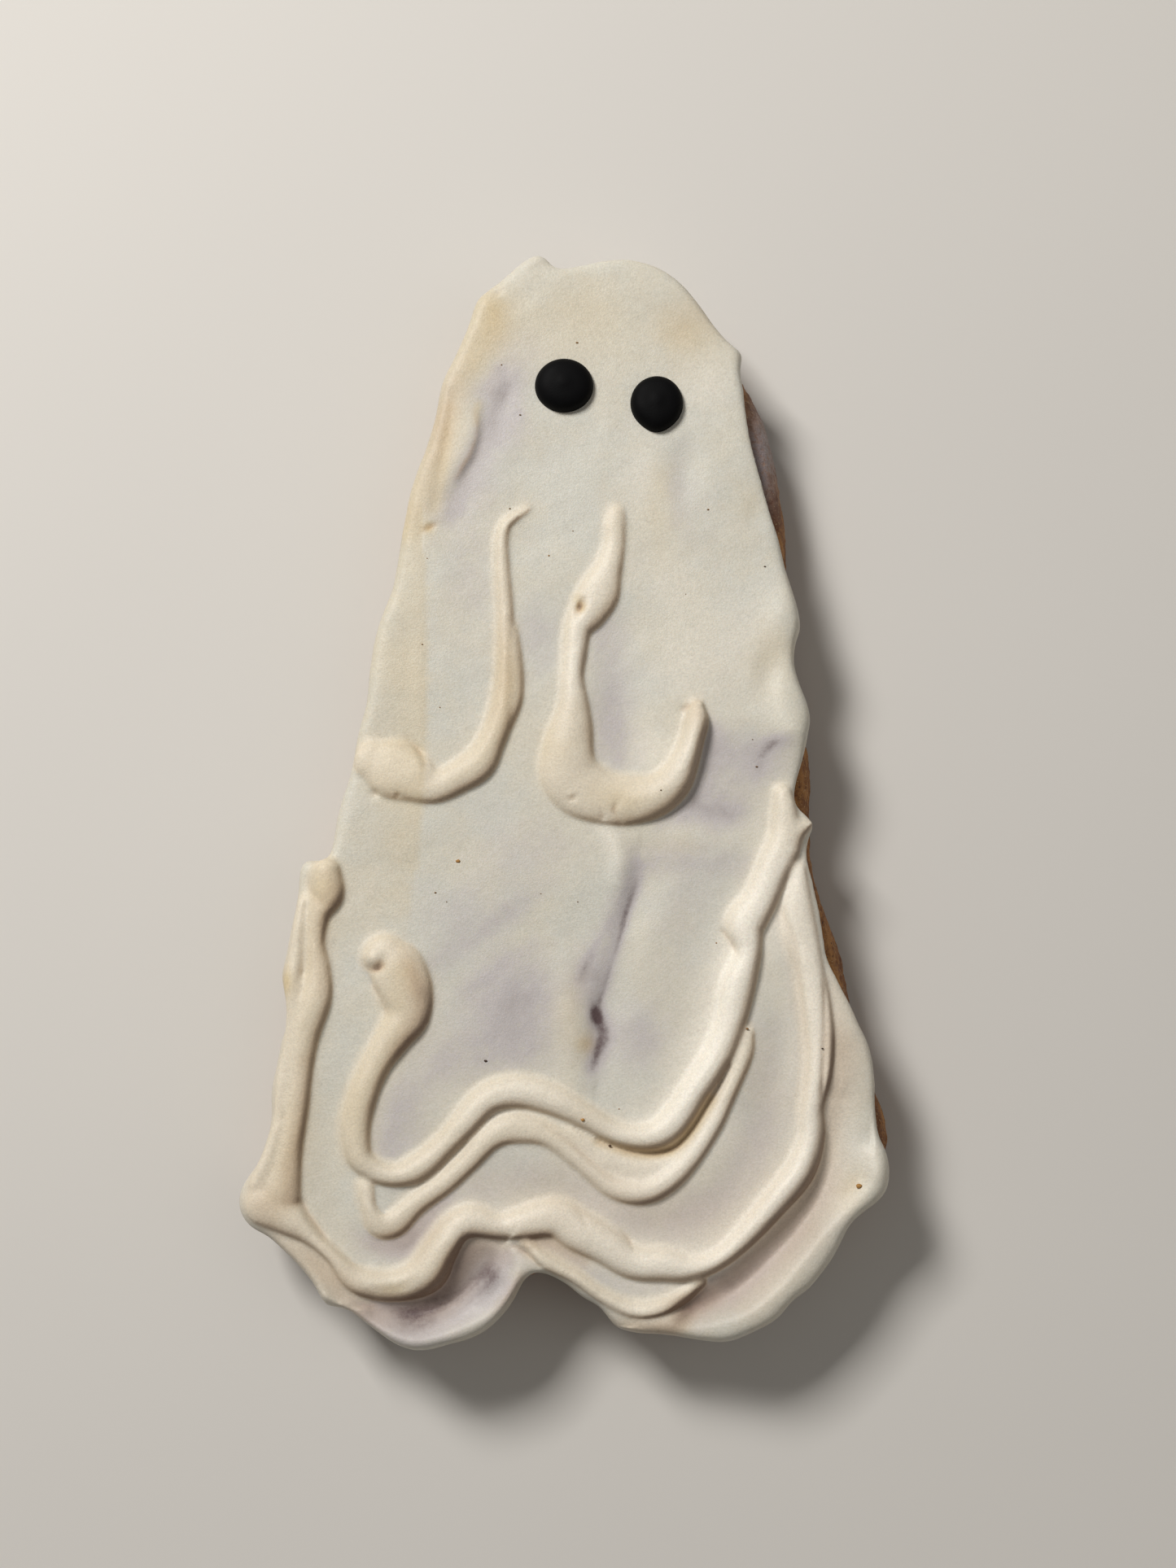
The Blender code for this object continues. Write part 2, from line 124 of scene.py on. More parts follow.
def evenly_spaced(dense: np.ndarray, count: int, closed: bool) -> np.ndarray:
    """Walk a polyline in equal steps of plan length.

    Args:
        dense: the polyline's points, one row each.
        count: how many points to return.
        closed: whether the line runs back to its first point.

    Returns:
        The points reached, with the same columns.
    """
    line = np.vstack([dense, dense[:1]]) if closed else dense
    steps = np.hypot(*np.diff(line[:, :2], axis=0).T)
    reached = np.concatenate([[0.0], np.cumsum(steps)])
    targets = np.linspace(0.0, reached[-1], count, endpoint=not closed)
    return np.column_stack([np.interp(targets, reached, column) for column in line.T])


def outward(loop: np.ndarray) -> np.ndarray:
    """Find which way is out at each point of an anticlockwise loop.

    Args:
        loop: the loop's points, one row each.

    Returns:
        The unit normals, one row each.
    """
    along = np.roll(loop, -1, axis=0) - np.roll(loop, 1, axis=0)
    across = np.column_stack([along[:, 1], -along[:, 0]])
    return across / np.linalg.norm(across, axis=1, keepdims=True)


def relaxed(loop: np.ndarray, passes: int) -> np.ndarray:
    """Even out the small corners of a loop, or of values that run round it.

    Args:
        loop: the points or the values, in order.
        passes: how often to do so.

    Returns:
        The evened points or values.
    """
    for _ in range(passes):
        loop = 0.5 * loop + 0.25 * (np.roll(loop, 1, axis=0) + np.roll(loop, -1, axis=0))
    return loop


@dataclass(frozen=True)
class Nearest:
    """What the nearest place of a line says about each of many points."""

    distance: np.ndarray
    side: np.ndarray
    off: np.ndarray
    values: np.ndarray

    @property
    def beyond(self) -> np.ndarray:
        """How far each point lies outside a line whose first value is its half width."""
        return self.distance - self.values[:, 0]

    @property
    def slumped(self) -> np.ndarray:
        """How far round each point lies towards the side of the slump, from -1 to 1."""
        return self.off @ SLUMP / np.maximum(self.distance, TINY)


def nearest_on(line: np.ndarray, points: np.ndarray) -> Nearest:
    """Find the nearest place of a polyline for each point.

    Args:
        line: rows of x, y and any values carried along the line.
        points: rows of x and y.

    Returns:
        The distance, the side (above 0 to the left of the line's run), the way from the line to
        the point, and the line's values there.
    """
    distance = np.full(len(points), np.inf)
    side = np.zeros(len(points))
    off = np.zeros((len(points), 2))
    values = np.zeros((len(points), line.shape[1] - 2))
    for a, b in zip(line[:-1], line[1:]):
        run = b[:2] - a[:2]
        away = points - a[:2]
        share = np.clip(away @ run / max(run @ run, TINY), 0.0, 1.0)
        gap = away - share[:, None] * run
        reach = np.hypot(gap[:, 0], gap[:, 1])
        nearer = reach < distance
        distance[nearer] = reach[nearer]
        side[nearer] = (run[0] * gap[:, 1] - run[1] * gap[:, 0])[nearer]
        off[nearer] = gap[nearer]
        values[nearer] = (a[2:] + share[:, None] * (b[2:] - a[2:]))[nearer]
    return Nearest(distance, side, off, values)


class Mark(Protocol):
    """Something drawn on the plan that has a strength at each place."""

    def at(self, points: np.ndarray) -> np.ndarray:
        """Return the mark's strength at each row of x and y."""


@dataclass(frozen=True)
class Stroke:
    """A line whose strength fades out to its left and right, each side with its own half width.

    Its knots are rows of x, y and strength. It ends where it is so many half widths away.
    """

    left: float
    right: float
    knots: tuple[tuple[float, float, float], ...]
    ends: float = 3.0

    def at(self, points: np.ndarray) -> np.ndarray:
        """Work out the stroke's strength.

        Args:
            points: rows of x and y.

        Returns:
            The strength at each point.
        """
        reach = self.ends * max(self.left, self.right)
        knots = np.array(self.knots)
        low, high = knots[:, :2].min(0) - reach, knots[:, :2].max(0) + reach
        near = np.all((points > low) & (points < high), axis=1)
        found = nearest_on(smooth_curve(knots, closed=False, per_span=MARK_SPAN), points[near])
        width = np.where(found.side > 0.0, self.left, self.right)
        strength = np.zeros(len(points))
        strength[near] = found.values[:, 0] * np.exp(-((found.distance / width) ** 2))
        return strength


@dataclass(frozen=True)
class Spot:
    """A soft-edged oval: its middle, strength, half widths, and turn in degrees."""

    x: float
    y: float
    value: float
    across: float
    along: float
    turn: float = 0.0

    def at(self, points: np.ndarray) -> np.ndarray:
        """Work out the spot's strength.

        Args:
            points: rows of x and y.

        Returns:
            The strength at each point.
        """
        angle = math.radians(self.turn)
        dx, dy = points[:, 0] - self.x, points[:, 1] - self.y
        u = (dx * math.cos(angle) + dy * math.sin(angle)) / self.across
        v = (dy * math.cos(angle) - dx * math.sin(angle)) / self.along
        return self.value * np.exp(-(u * u) - (v * v))


def total(marks: Sequence[Mark], points: np.ndarray) -> np.ndarray:
    """Return the sum of the marks' strengths at each row of x and y."""
    return sum((mark.at(points) for mark in marks), np.zeros(len(points)))


@dataclass(frozen=True)
class Ripple:
    """Smooth unevenness: its height, how many waves it has in a millimetre, and its seed."""

    height: float
    per_mm: float
    seed: float

    def at(self, points: np.ndarray) -> np.ndarray:
        """Return how far each row of x, y and z stands up or down."""
        places = points * self.per_mm + self.seed
        return self.height * np.fromiter((noise.noise(Vector(p)) for p in places), float, len(places))


# ---------------------------------------------------------------------------------------------
# Mesh tools


def add_object(name: str, data: bpy.types.ID) -> bpy.types.Object:
    """Put an object in the scene.

    Args:
        name: the object's name.
        data: its mesh, light or camera.

    Returns:
        The object.
    """
    obj = bpy.data.objects.new(name, data)
    bpy.context.scene.collection.objects.link(obj)
    return obj


def add_mesh(name: str, points: np.ndarray, faces: Sequence[Sequence[int]]) -> bpy.types.Object:
    """Put a mesh object in the scene.

    Args:
        name: the object's name.
        points: rows of x, y and z.
        faces: the point numbers of each face.

    Returns:
        The object.
    """
    mesh = bpy.data.meshes.new(name)
    mesh.from_pydata(points.tolist(), [], faces)
    mesh.validate()
    return add_object(name, mesh)


def add_worked(name: str, work: bmesh.types.BMesh) -> bpy.types.Object:
    """Put what was worked on in a bmesh in the scene, and free the bmesh.

    Args:
        name: the object's name.
        work: the bmesh.

    Returns:
        The object.
    """
    mesh = bpy.data.meshes.new(name)
    work.to_mesh(mesh)
    work.free()
    return add_object(name, mesh)


def apply_modifier(obj: bpy.types.Object, kind: str, **settings: object) -> None:
    """Apply one modifier to an object.

    Args:
        obj: the object, whose mesh is replaced.
        kind: the modifier's type.
        **settings: the modifier's properties.
    """
    modifier = obj.modifiers.new(kind.lower(), kind)
    for key, value in settings.items():
        setattr(modifier, key, value)
    graph = bpy.context.evaluated_depsgraph_get()
    obj.data = bpy.data.meshes.new_from_object(obj.evaluated_get(graph))
    obj.modifiers.clear()


def loft_faces(rings: int, around: int) -> list[tuple[int, ...]]:
    """List the quads between neighbouring rings.

    Args:
        rings: how many rings there are.
        around: how many points each has.

    Returns:
        The point numbers of each quad.
    """
    faces = []
    for k in range(rings - 1):
        for i in range(around):
            j = (i + 1) % around
            low, high = k * around, (k + 1) * around
            faces.append((low + i, low + j, high + j, high + i))
    return faces


def shell_of(rings: Sequence[np.ndarray], tips: tuple[np.ndarray, np.ndarray]) -> tuple[np.ndarray, list]:
    """Skin a row of rings and draw each end together at a tip.

    Args:
        rings: the rings' points, all with the same number of rows.
        tips: the point that closes the first ring and the one that closes the last.

    Returns:
        The points and the faces.
    """
    around = len(rings[0])
    faces = loft_faces(len(rings), around)
    first, last = len(rings) * around, len(rings) * around + 1
    top = (len(rings) - 1) * around
    for i in range(around):
        j = (i + 1) % around
        faces.append((j, i, first))
        faces.append((top + i, top + j, last))
    return np.vstack([*rings, *tips]), faces


class Surface:
    """A mesh's points as an array, for relief that is worked out point by point."""

    def __init__(self, mesh: bpy.types.Mesh) -> None:
        """Read the points and edges of a mesh.

        Args:
            mesh: the mesh, which store writes back to.
        """
        self.mesh = mesh
        self.points = np.empty(len(mesh.vertices) * 3)
        mesh.vertices.foreach_get("co", self.points)
        self.points = self.points.reshape(-1, 3)
        ends = np.empty(len(mesh.edges) * 2, np.int32)
        mesh.edges.foreach_get("vertices", ends)
        self.a, self.b = ends.reshape(-1, 2).T
        self.links = np.maximum(np.bincount(ends, minlength=len(self.points)), 1)

    @property
    def plan(self) -> np.ndarray:
        """The points' places seen from above."""
        return self.points[:, :2]

    def around(self, values: np.ndarray) -> np.ndarray:
        """Average the values at each point's neighbours.

        Args:
            values: a value or a row for each point.

        Returns:
            The averages, in the same shape.
        """
        count = len(self.points)
        sums = [
            np.bincount(self.a, column[self.b], count) + np.bincount(self.b, column[self.a], count)
            for column in values.reshape(count, -1).T
        ]
        return (np.column_stack(sums) / self.links[:, None]).reshape(values.shape)

    def smooth(self, weight: Union[float, np.ndarray], passes: int) -> None:
        """Draw the points towards their neighbours.

        Args:
            weight: how far, as one share for all points or one for each.
            passes: how often to do so.
        """
        share = np.broadcast_to(weight, len(self.points))[:, None]
        for _ in range(passes):
            self.points += share * (self.around(self.points) - self.points)

    def blurred(self, values: np.ndarray, passes: int) -> np.ndarray:
        """Spread values over the surface.

        Args:
            values: a value for each point.
            passes: how often to do so.

        Returns:
            The spread values.
        """
        for _ in range(passes):
            values = 0.5 * (values + self.around(values))
        return values

    def normals(self) -> np.ndarray:
        """Store the points and read the normals.

        Returns:
            A unit normal for each point.
        """
        self.store()
        found = np.empty(len(self.points) * 3)
        self.mesh.vertices.foreach_get("normal", found)
        return found.reshape(-1, 3)

    def store(self) -> None:
        """Write the points back to the mesh."""
        self.mesh.vertices.foreach_set("co", self.points.astype(np.float32).ravel())
        self.mesh.update()

    def paint(self, name: str, values: np.ndarray) -> None:
        """Store values as a named attribute that a material can read."""
        layer = self.mesh.attributes.new(name, "FLOAT", "POINT")
        layer.data.foreach_set("value", values.astype(np.float32))


# ---------------------------------------------------------------------------------------------
# Materials


def linear(*screen: int) -> tuple[float, ...]:
    """Return a screen colour as a linear colour with full alpha, by the standard screen curve."""
    shares = [step / 255.0 for step in screen]
    return (*(s / 12.92 if s <= 0.04045 else ((s + 0.055) / 1.055) ** 2.4 for s in shares), 1.0)


class Blend(Enum):
    """Ways to lay one colour over another."""

    MIX = "MIX"
    MULTIPLY = "MULTIPLY"


@dataclass(frozen=True)
class Signal:
    """An output socket with arithmetic: an expression on values adds its Math nodes."""

    graph: "Graph"
    socket: bpy.types.NodeSocket

    def __add__(self, other: "Value") -> "Signal":
        """Return the sum."""
        return self.graph.maths("ADD", self, other)

    def __sub__(self, other: "Value") -> "Signal":
        """Return the difference."""
        return self.graph.maths("SUBTRACT", self, other)

    def __rsub__(self, other: "Value") -> "Signal":
        """Return the difference from another value."""
        return self.graph.maths("SUBTRACT", other, self)

    def __mul__(self, other: "Value") -> "Signal":
        """Return the product."""
        return self.graph.maths("MULTIPLY", self, other)

    __radd__ = __add__
    __rmul__ = __mul__

    def clamped(self) -> "Signal":
        """Return the value held between 0 and 1."""
        return self.graph.node("ShaderNodeClamp", {}, {"Value": self})


Value = Union[Signal, float]
Colour = Union[Signal, Screen]


class Graph:
    """A material's node tree round its Principled shader."""

    def __init__(self, name: str) -> None:
        """Start a material.

        Args:
            name: the material's name.
        """
        self.material = bpy.data.materials.new(name)
        self.material.use_nodes = True
        self.tree = self.material.node_tree
        self.shader = self.tree.nodes["Principled BSDF"]

    def node(self, kind: str, settings: dict, inputs: dict, output: Union[int, str] = 0) -> Signal:
        """Add one node.

        Args:
            kind: the node's type.
            settings: its properties, set first; "stops" are a ramp's places and colours.
            inputs: values or links for its sockets, by name or number.
            output: the socket to return.

        Returns:
            The output socket.
        """
        made = self.tree.nodes.new(kind)
        for key, setting in settings.items():
            if key == "stops":
                for stop, (place, colour) in zip(self._stops(made.color_ramp, len(setting)), setting):
                    stop.position, stop.color = place, colour
            else:
                setattr(made, key, setting)
        for key, value in inputs.items():
            self._feed(made.inputs[key], value)
        return Signal(self, made.outputs[output])

    @staticmethod
    def _stops(ramp: bpy.types.ColorRamp, count: int) -> list:
        """Add stops to a ramp until it has enough.

        Args:
            ramp: the ramp.
            count: how many stops it needs.

        Returns:
            Its stops.
        """
        while len(ramp.elements) < count:
            ramp.elements.new(1.0)
        return list(ramp.elements)

    def _feed(self, socket: bpy.types.NodeSocket, value: object) -> None:
        """Give a socket what it shows.

        Args:
            socket: the input socket.
            value: a signal to link to it, or the socket's own value.
        """
        if isinstance(value, Signal):
            self.tree.links.new(value.socket, socket)
        else:
            socket.default_value = value

    def maths(self, operation: str, first: Value, second: Value) -> Signal:
        """Return one Math node's result."""
        return self.node("ShaderNodeMath", {"operation": operation}, {0: first, 1: second})

    def mixed(self, share: Value, under: Colour, over: Colour, blend: Blend = Blend.MIX) -> Signal:
        """Lay one colour over another.

        Args:
            share: how much of the upper colour shows.
            under: the lower colour.
            over: the upper colour.
            blend: how they combine.

        Returns:
            The combined colour.
        """
        settings = {"data_type": "RGBA", "blend_type": blend.value}
        under, over = (c if isinstance(c, Signal) else linear(*c) for c in (under, over))
        return self.node("ShaderNodeMix", settings, {0: share, 6: under, 7: over}, 2)

    def ramp(self, value: Value, low: float, high: float) -> Signal:
        """Return a value eased from 0 at low to 1 at high."""
        inputs = {"Value": value, "From Min": low, "From Max": high}
        return self.node("ShaderNodeMapRange", {"interpolation_type": "SMOOTHSTEP"}, inputs)

    @staticmethod
    def weighed(weights: Sequence[float], *signals: Signal) -> Signal:
        """Return the sum of signals, each times its weight."""
        parts = [signal * weight for signal, weight in zip(signals, weights)]
        return sum(parts[1:], parts[0])

    def painted(self, name: str) -> Signal:
        """Return the values stored on the mesh under a name."""
        return self.node("ShaderNodeAttribute", {"attribute_name": name}, {}, "Fac")

    def grain(self, per_mm: float, detail: float = 2.0, roughness: float = 0.5) -> Signal:
        """Add noise from 0 to 1.

        Args:
            per_mm: how many cells it has in a millimetre.
            detail: how many finer layers it has.
            roughness: how strong they are.

        Returns:
            The noise.
        """
        place = self.node("ShaderNodeTexCoord", {}, {}, "Object")
        inputs = {"Vector": place, "Scale": per_mm / MM, "Detail": detail, "Roughness": roughness}
        return self.node("ShaderNodeTexNoise", {}, inputs, 0)

    def streaks(self, per_mm: float, stretch: float, turn: float) -> Signal:
        """Add noise from 0 to 1 that is drawn out along a direction.

        Args:
            per_mm: how many cells it has in a millimetre, across the streaks.
            stretch: how many times as long as wide they are.
            turn: their direction, in degrees from X.

        Returns:
            The noise.
        """
        place = self.node("ShaderNodeTexCoord", {}, {}, "Object")
        inputs = {"Vector": place, "Rotation": (0.0, 0.0, math.radians(turn)), "Scale": (stretch, 1.0, 1.0)}
        drawn = self.node("ShaderNodeMapping", {"vector_type": "TEXTURE"}, inputs)
        return self.node("ShaderNodeTexNoise", {}, {"Vector": drawn, "Scale": per_mm / MM, "Detail": 3.0})

    def bump(self, height: Signal, depth: float) -> Signal:
        """Return a normal from a height of 0 to 1 that stands for a depth in millimetres."""
        return self.node("ShaderNodeBump", {}, {"Height": height, "Distance": depth * MM}, 0)

    def finish(self, **sockets: object) -> bpy.types.Material:
        """Feed the shader.

        Args:
            **sockets: values or links by socket name, with _ for a space.

        Returns:
            The finished material.
        """
        for key, value in sockets.items():
            self._feed(self.shader.inputs[key.replace("_", " ")], value)
        return self.material


@dataclass(frozen=True)
class IcingFinish:
    """Soft set icing: creamy where it is thick, grey-lilac where thinly laid and in painted shade.

    It is layered from the coat's own colour up to the darkest grey-violet, where the dark biscuit
    shows through and painted shade is deepest. Golden and toffee are the brown of painted shade in
    hollows, in creases and on the lines' lee flanks, mixed with some biscuit dust. Weights say how
    much each noise counts, and the patches' strength grows from its second value by its first as
    the coat thins.
    """

    coat: Screen = (221, 216, 201)
    cool: Screen = (218, 216, 205)
    cool_span: Span = (0.4, 0.62)
    lilac: Screen = (201, 195, 194)
    patch_weights: tuple[float, ...] = (0.7, 0.9, 1.5, 0.9, 0.5)
    clear_span: Span = (0.58, 0.75)
    clear_share: float = 0.8
    patch_strength: tuple[float, float] = (0.7, 0.4)
    cream: Screen = (229, 219, 200)
    pale: Screen = (251, 245, 232)
    butter: Screen = (214, 194, 152)
    butter_share: float = 0.8
    butter_drift: float = 0.2
    golden: Screen = (186, 144, 96)
    toffee: Screen = (112, 72, 42)
    toffee_span: Span = (0.3, 1.0)
    shade_and_stain_share: float = 0.8
    bruise_and_shade: Screen = (97, 79, 80)
    bruise_span: Span = (1.0, 2.6)
    bruise_patch: float = 0.6
    mottle_weights: tuple[float, ...] = (0.6, 0.4)
    mottle_stops: tuple[tuple[float, float], ...] = ((0.34, 0.8), (0.61, 1.0))
    roughness: float = 0.46
    gloss_drift: float = 0.14
    grain_weights: tuple[float, ...] = (0.8, 0.5, 0.2)
    grain_depth: float = 0.05
    glow_reach: float = 0.5

    def material(self) -> bpy.types.Material:
        """Build the icing's material.

        Returns:
            The material, which reads the values that Icing stores on the mesh.
        """
        g = Graph("cream_icing")
        thin, warm, crease = g.painted("thin"), g.painted("warm"), g.painted("crease")
        piped, white = g.painted("piped"), g.painted("white")
        broad, cloud, fine = g.grain(0.22, 3.0), g.grain(0.9, 3.0, 0.6), g.grain(5.0, 3.0, 0.7)
        speck, brushed = g.grain(2.4, 4.0, 0.75), g.streaks(0.8, 5.0, 50.0)
        patchy = g.weighed(self.patch_weights, broad, cloud, speck, fine, brushed)
        patchy = patchy - sum(self.patch_weights) / 2.0
        clear = g.ramp(speck, *self.clear_span) * self.clear_share
        more, least = self.patch_strength
        depth = thin * (1.0 - clear) + patchy * (thin * more + least)
        colour = g.mixed(g.ramp(g.grain(0.12, 4.0, 0.6), *self.cool_span), self.coat, self.cool)
        colour = g.mixed(depth.clamped(), colour, self.lilac)
        colour = g.mixed(piped, colour, self.cream)
        colour = g.mixed(white.clamped(), colour, self.pale)
        buttery = (warm + (cloud - 0.5) * self.butter_drift).clamped() * self.butter_share
        colour = g.mixed(buttery, colour, self.butter)
        # painted shade and dust: golden where the shade is light, toffee where it is deep
        shade_and_stain = g.mixed(g.ramp(crease, *self.toffee_span), self.golden, self.toffee)
        colour = g.mixed(crease.clamped() * self.shade_and_stain_share, colour, shade_and_stain)
        # grey-violet where the biscuit shows through and where painted shade is deepest
        colour = g.mixed(g.ramp(thin + patchy * self.bruise_patch, *self.bruise_span), colour, self.bruise_and_shade)
        stops = [(place, (grey, grey, grey, 1.0)) for place, grey in self.mottle_stops]
        cells = g.weighed(self.mottle_weights, fine, speck)
        mottle = g.node("ShaderNodeValToRGB", {"stops": stops}, {"Fac": cells})
        return g.finish(
            Base_Color=g.mixed(1.0, colour, mottle, Blend.MULTIPLY),
            Roughness=self.roughness + (cloud - 0.5) * self.gloss_drift,
            Normal=g.bump(g.weighed(self.grain_weights, fine, cloud, brushed), self.grain_depth),
            Specular_IOR_Level=0.4,
            Subsurface_Weight=0.15,
            Subsurface_Radius=(1.0, 0.8, 0.6),
            Subsurface_Scale=self.glow_reach * MM,
        )


@dataclass(frozen=True)
class BiscuitFinish:
    """Dry baked crumb in clouds of brown and tan, with pale and dark flecks and a smear of icing."""

    brown: Screen = (116, 70, 36)
    tan: Screen = (178, 126, 72)
    tan_weights: tuple[float, ...] = (0.5, 0.5)
    tan_span: Span = (0.38, 0.62)
    pale: Screen = (214, 186, 140)
    pale_span: Span = (0.62, 0.72)
    bran: Screen = (70, 42, 24)
    bran_span: Span = (0.66, 0.74)
    glaze: Screen = (148, 134, 134)
    glaze_span: Span = (0.35, 0.6)
    glaze_least: float = 0.55
    glaze_drift: float = 0.6
    roughness: float = 0.88
    glaze_gloss: float = 0.45
    crumb_weights: tuple[float, ...] = (0.7, 0.4)
    crumb_depth: float = 0.22

    def material(self) -> bpy.types.Material:
        """Build the biscuit's material.

        Returns:
            The material, which reads the glaze that Biscuit stores on the mesh.
        """
        g = Graph("baked_biscuit")
        broad, crumb, fine = g.grain(0.3, 3.0), g.grain(1.6, 4.0, 0.7), g.grain(4.5, 2.0, 0.6)
        clouds = g.weighed(self.tan_weights, broad, crumb)
        colour = g.mixed(g.ramp(clouds, *self.tan_span), self.brown, self.tan)
        colour = g.mixed(g.ramp(fine, *self.pale_span), colour, self.pale)
        colour = g.mixed(g.ramp(g.grain(2.6, 1.0), *self.bran_span), colour, self.bran)
        cover = self.glaze_least + g.ramp(crumb, *self.glaze_span) * self.glaze_drift
        glaze = (g.painted("glaze") * cover).clamped()
        return g.finish(
            Base_Color=g.mixed(glaze, colour, self.glaze),
            Roughness=self.roughness - glaze * self.glaze_gloss,
            Normal=g.bump(g.weighed(self.crumb_weights, crumb, fine), self.crumb_depth),
        )


@dataclass(frozen=True)
class EyeFinish:
    """Black icing that has set to a soft satin."""

    black: Screen = (6, 6, 7)
    worn: Screen = (16, 16, 17)
    worn_share: float = 0.6
    roughness: float = 0.62
    gloss_drift: float = 0.16
    grain_depth: float = 0.012

    def material(self) -> bpy.types.Material:
        """Build the eyes' material.

        Returns:
            The material.
        """
        g = Graph("black_icing")
        cloud, fine = g.grain(0.8, 2.0), g.grain(6.0, 2.0)
        return g.finish(
            Base_Color=g.mixed(cloud * self.worn_share, self.black, self.worn),
            Roughness=self.roughness + (cloud - 0.5) * self.gloss_drift,
            Normal=g.bump(fine, self.grain_depth),
            Specular_IOR_Level=0.07,
        )


@dataclass(frozen=True)
class CrumbFinish:
    """Loose baked crumbs, from nearly black to pale amber."""

    dark: Screen = (58, 40, 32)
    amber: Screen = (190, 142, 78)
    drift: float = 0.4
    grain_depth: float = 0.05

    def material(self) -> bpy.types.Material:
        """Build the crumbs' material.

        Returns:
            The material, which reads the tone that Specks stores on the mesh.
        """
        g = Graph("loose_crumbs")
        fine = g.grain(5.0, 2.0)
        tone = (g.painted("tone") + (fine - 0.5) * self.drift).clamped()
        colour = g.mixed(tone, self.dark, self.amber)
        return g.finish(Base_Color=colour, Roughness=0.8, Normal=g.bump(fine, self.grain_depth))


@dataclass(frozen=True)
class FloorFinish:
    """The plain pale floor."""

    pale: Screen = (214, 211, 206)
    shade: Screen = (206, 203, 199)
    shade_share: float = 0.3

    def material(self) -> bpy.types.Material:
        """Build the floor's material.

        Returns:
            The material.
        """
        g = Graph("pale_floor")
        colour = g.mixed(g.grain(0.02, 1.0) * self.shade_share, self.pale, self.shade)
        return g.finish(Base_Color=colour, Roughness=0.85)


class Slot(Enum):
    """The record's material slots."""

    BISCUIT = "baked_biscuit"
    ICING = "cream_icing"
    EYE = "black_icing"


# ---------------------------------------------------------------------------------------------
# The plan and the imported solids


@dataclass(frozen=True)
class Plan:
    """Where the drawing plan lies in the part's frame."""

    x: float
    y: float
    weld: float = 0.001

    @classmethod
    def under(cls, node: str, x: float, y: float) -> "Plan":
        """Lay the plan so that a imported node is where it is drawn.

        Args:
            node: the node.
            x: where the node's middle is on the plan.
            y: the same along the biscuit.

        Returns:
            The plan.
        """
        low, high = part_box(node)
        middle = (low + high) / (2.0 * MM)
        return cls(middle.x - x, middle.y - y)

    def solid(self, node: str) -> bpy.types.Object:
        """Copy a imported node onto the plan.

        Args:
            node: the node.

        Returns:
            The copy, in millimetres and with its points merged.
        """
        work = bmesh.new()
        work.from_mesh(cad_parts[node].data)
        for vert in work.verts:
            vert.co = vert.co / MM - Vector((self.x, self.y, 0.0))
        bmesh.ops.remove_doubles(work, verts=work.verts[:], dist=self.weld)
        return add_worked(node + "_solid", work)

    def hand_over(self, obj: bpy.types.Object, slot: Slot, replaced: Sequence[str]) -> bpy.types.Object:
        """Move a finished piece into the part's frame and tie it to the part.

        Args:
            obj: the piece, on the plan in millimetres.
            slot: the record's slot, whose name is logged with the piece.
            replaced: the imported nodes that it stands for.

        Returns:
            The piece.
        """
        surface = Surface(obj.data)
        surface.points = (surface.points + (self.x, self.y, 0.0)) * MM
        surface.store()
        obj.data.shade_smooth()
        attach(obj, BODY)
        if replaced:
            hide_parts(*replaced)
        LOG.info("%s: %d faces, finish %s", obj.name, len(obj.data.polygons), slot.value)
        return obj


# ---------------------------------------------------------------------------------------------
# Icing


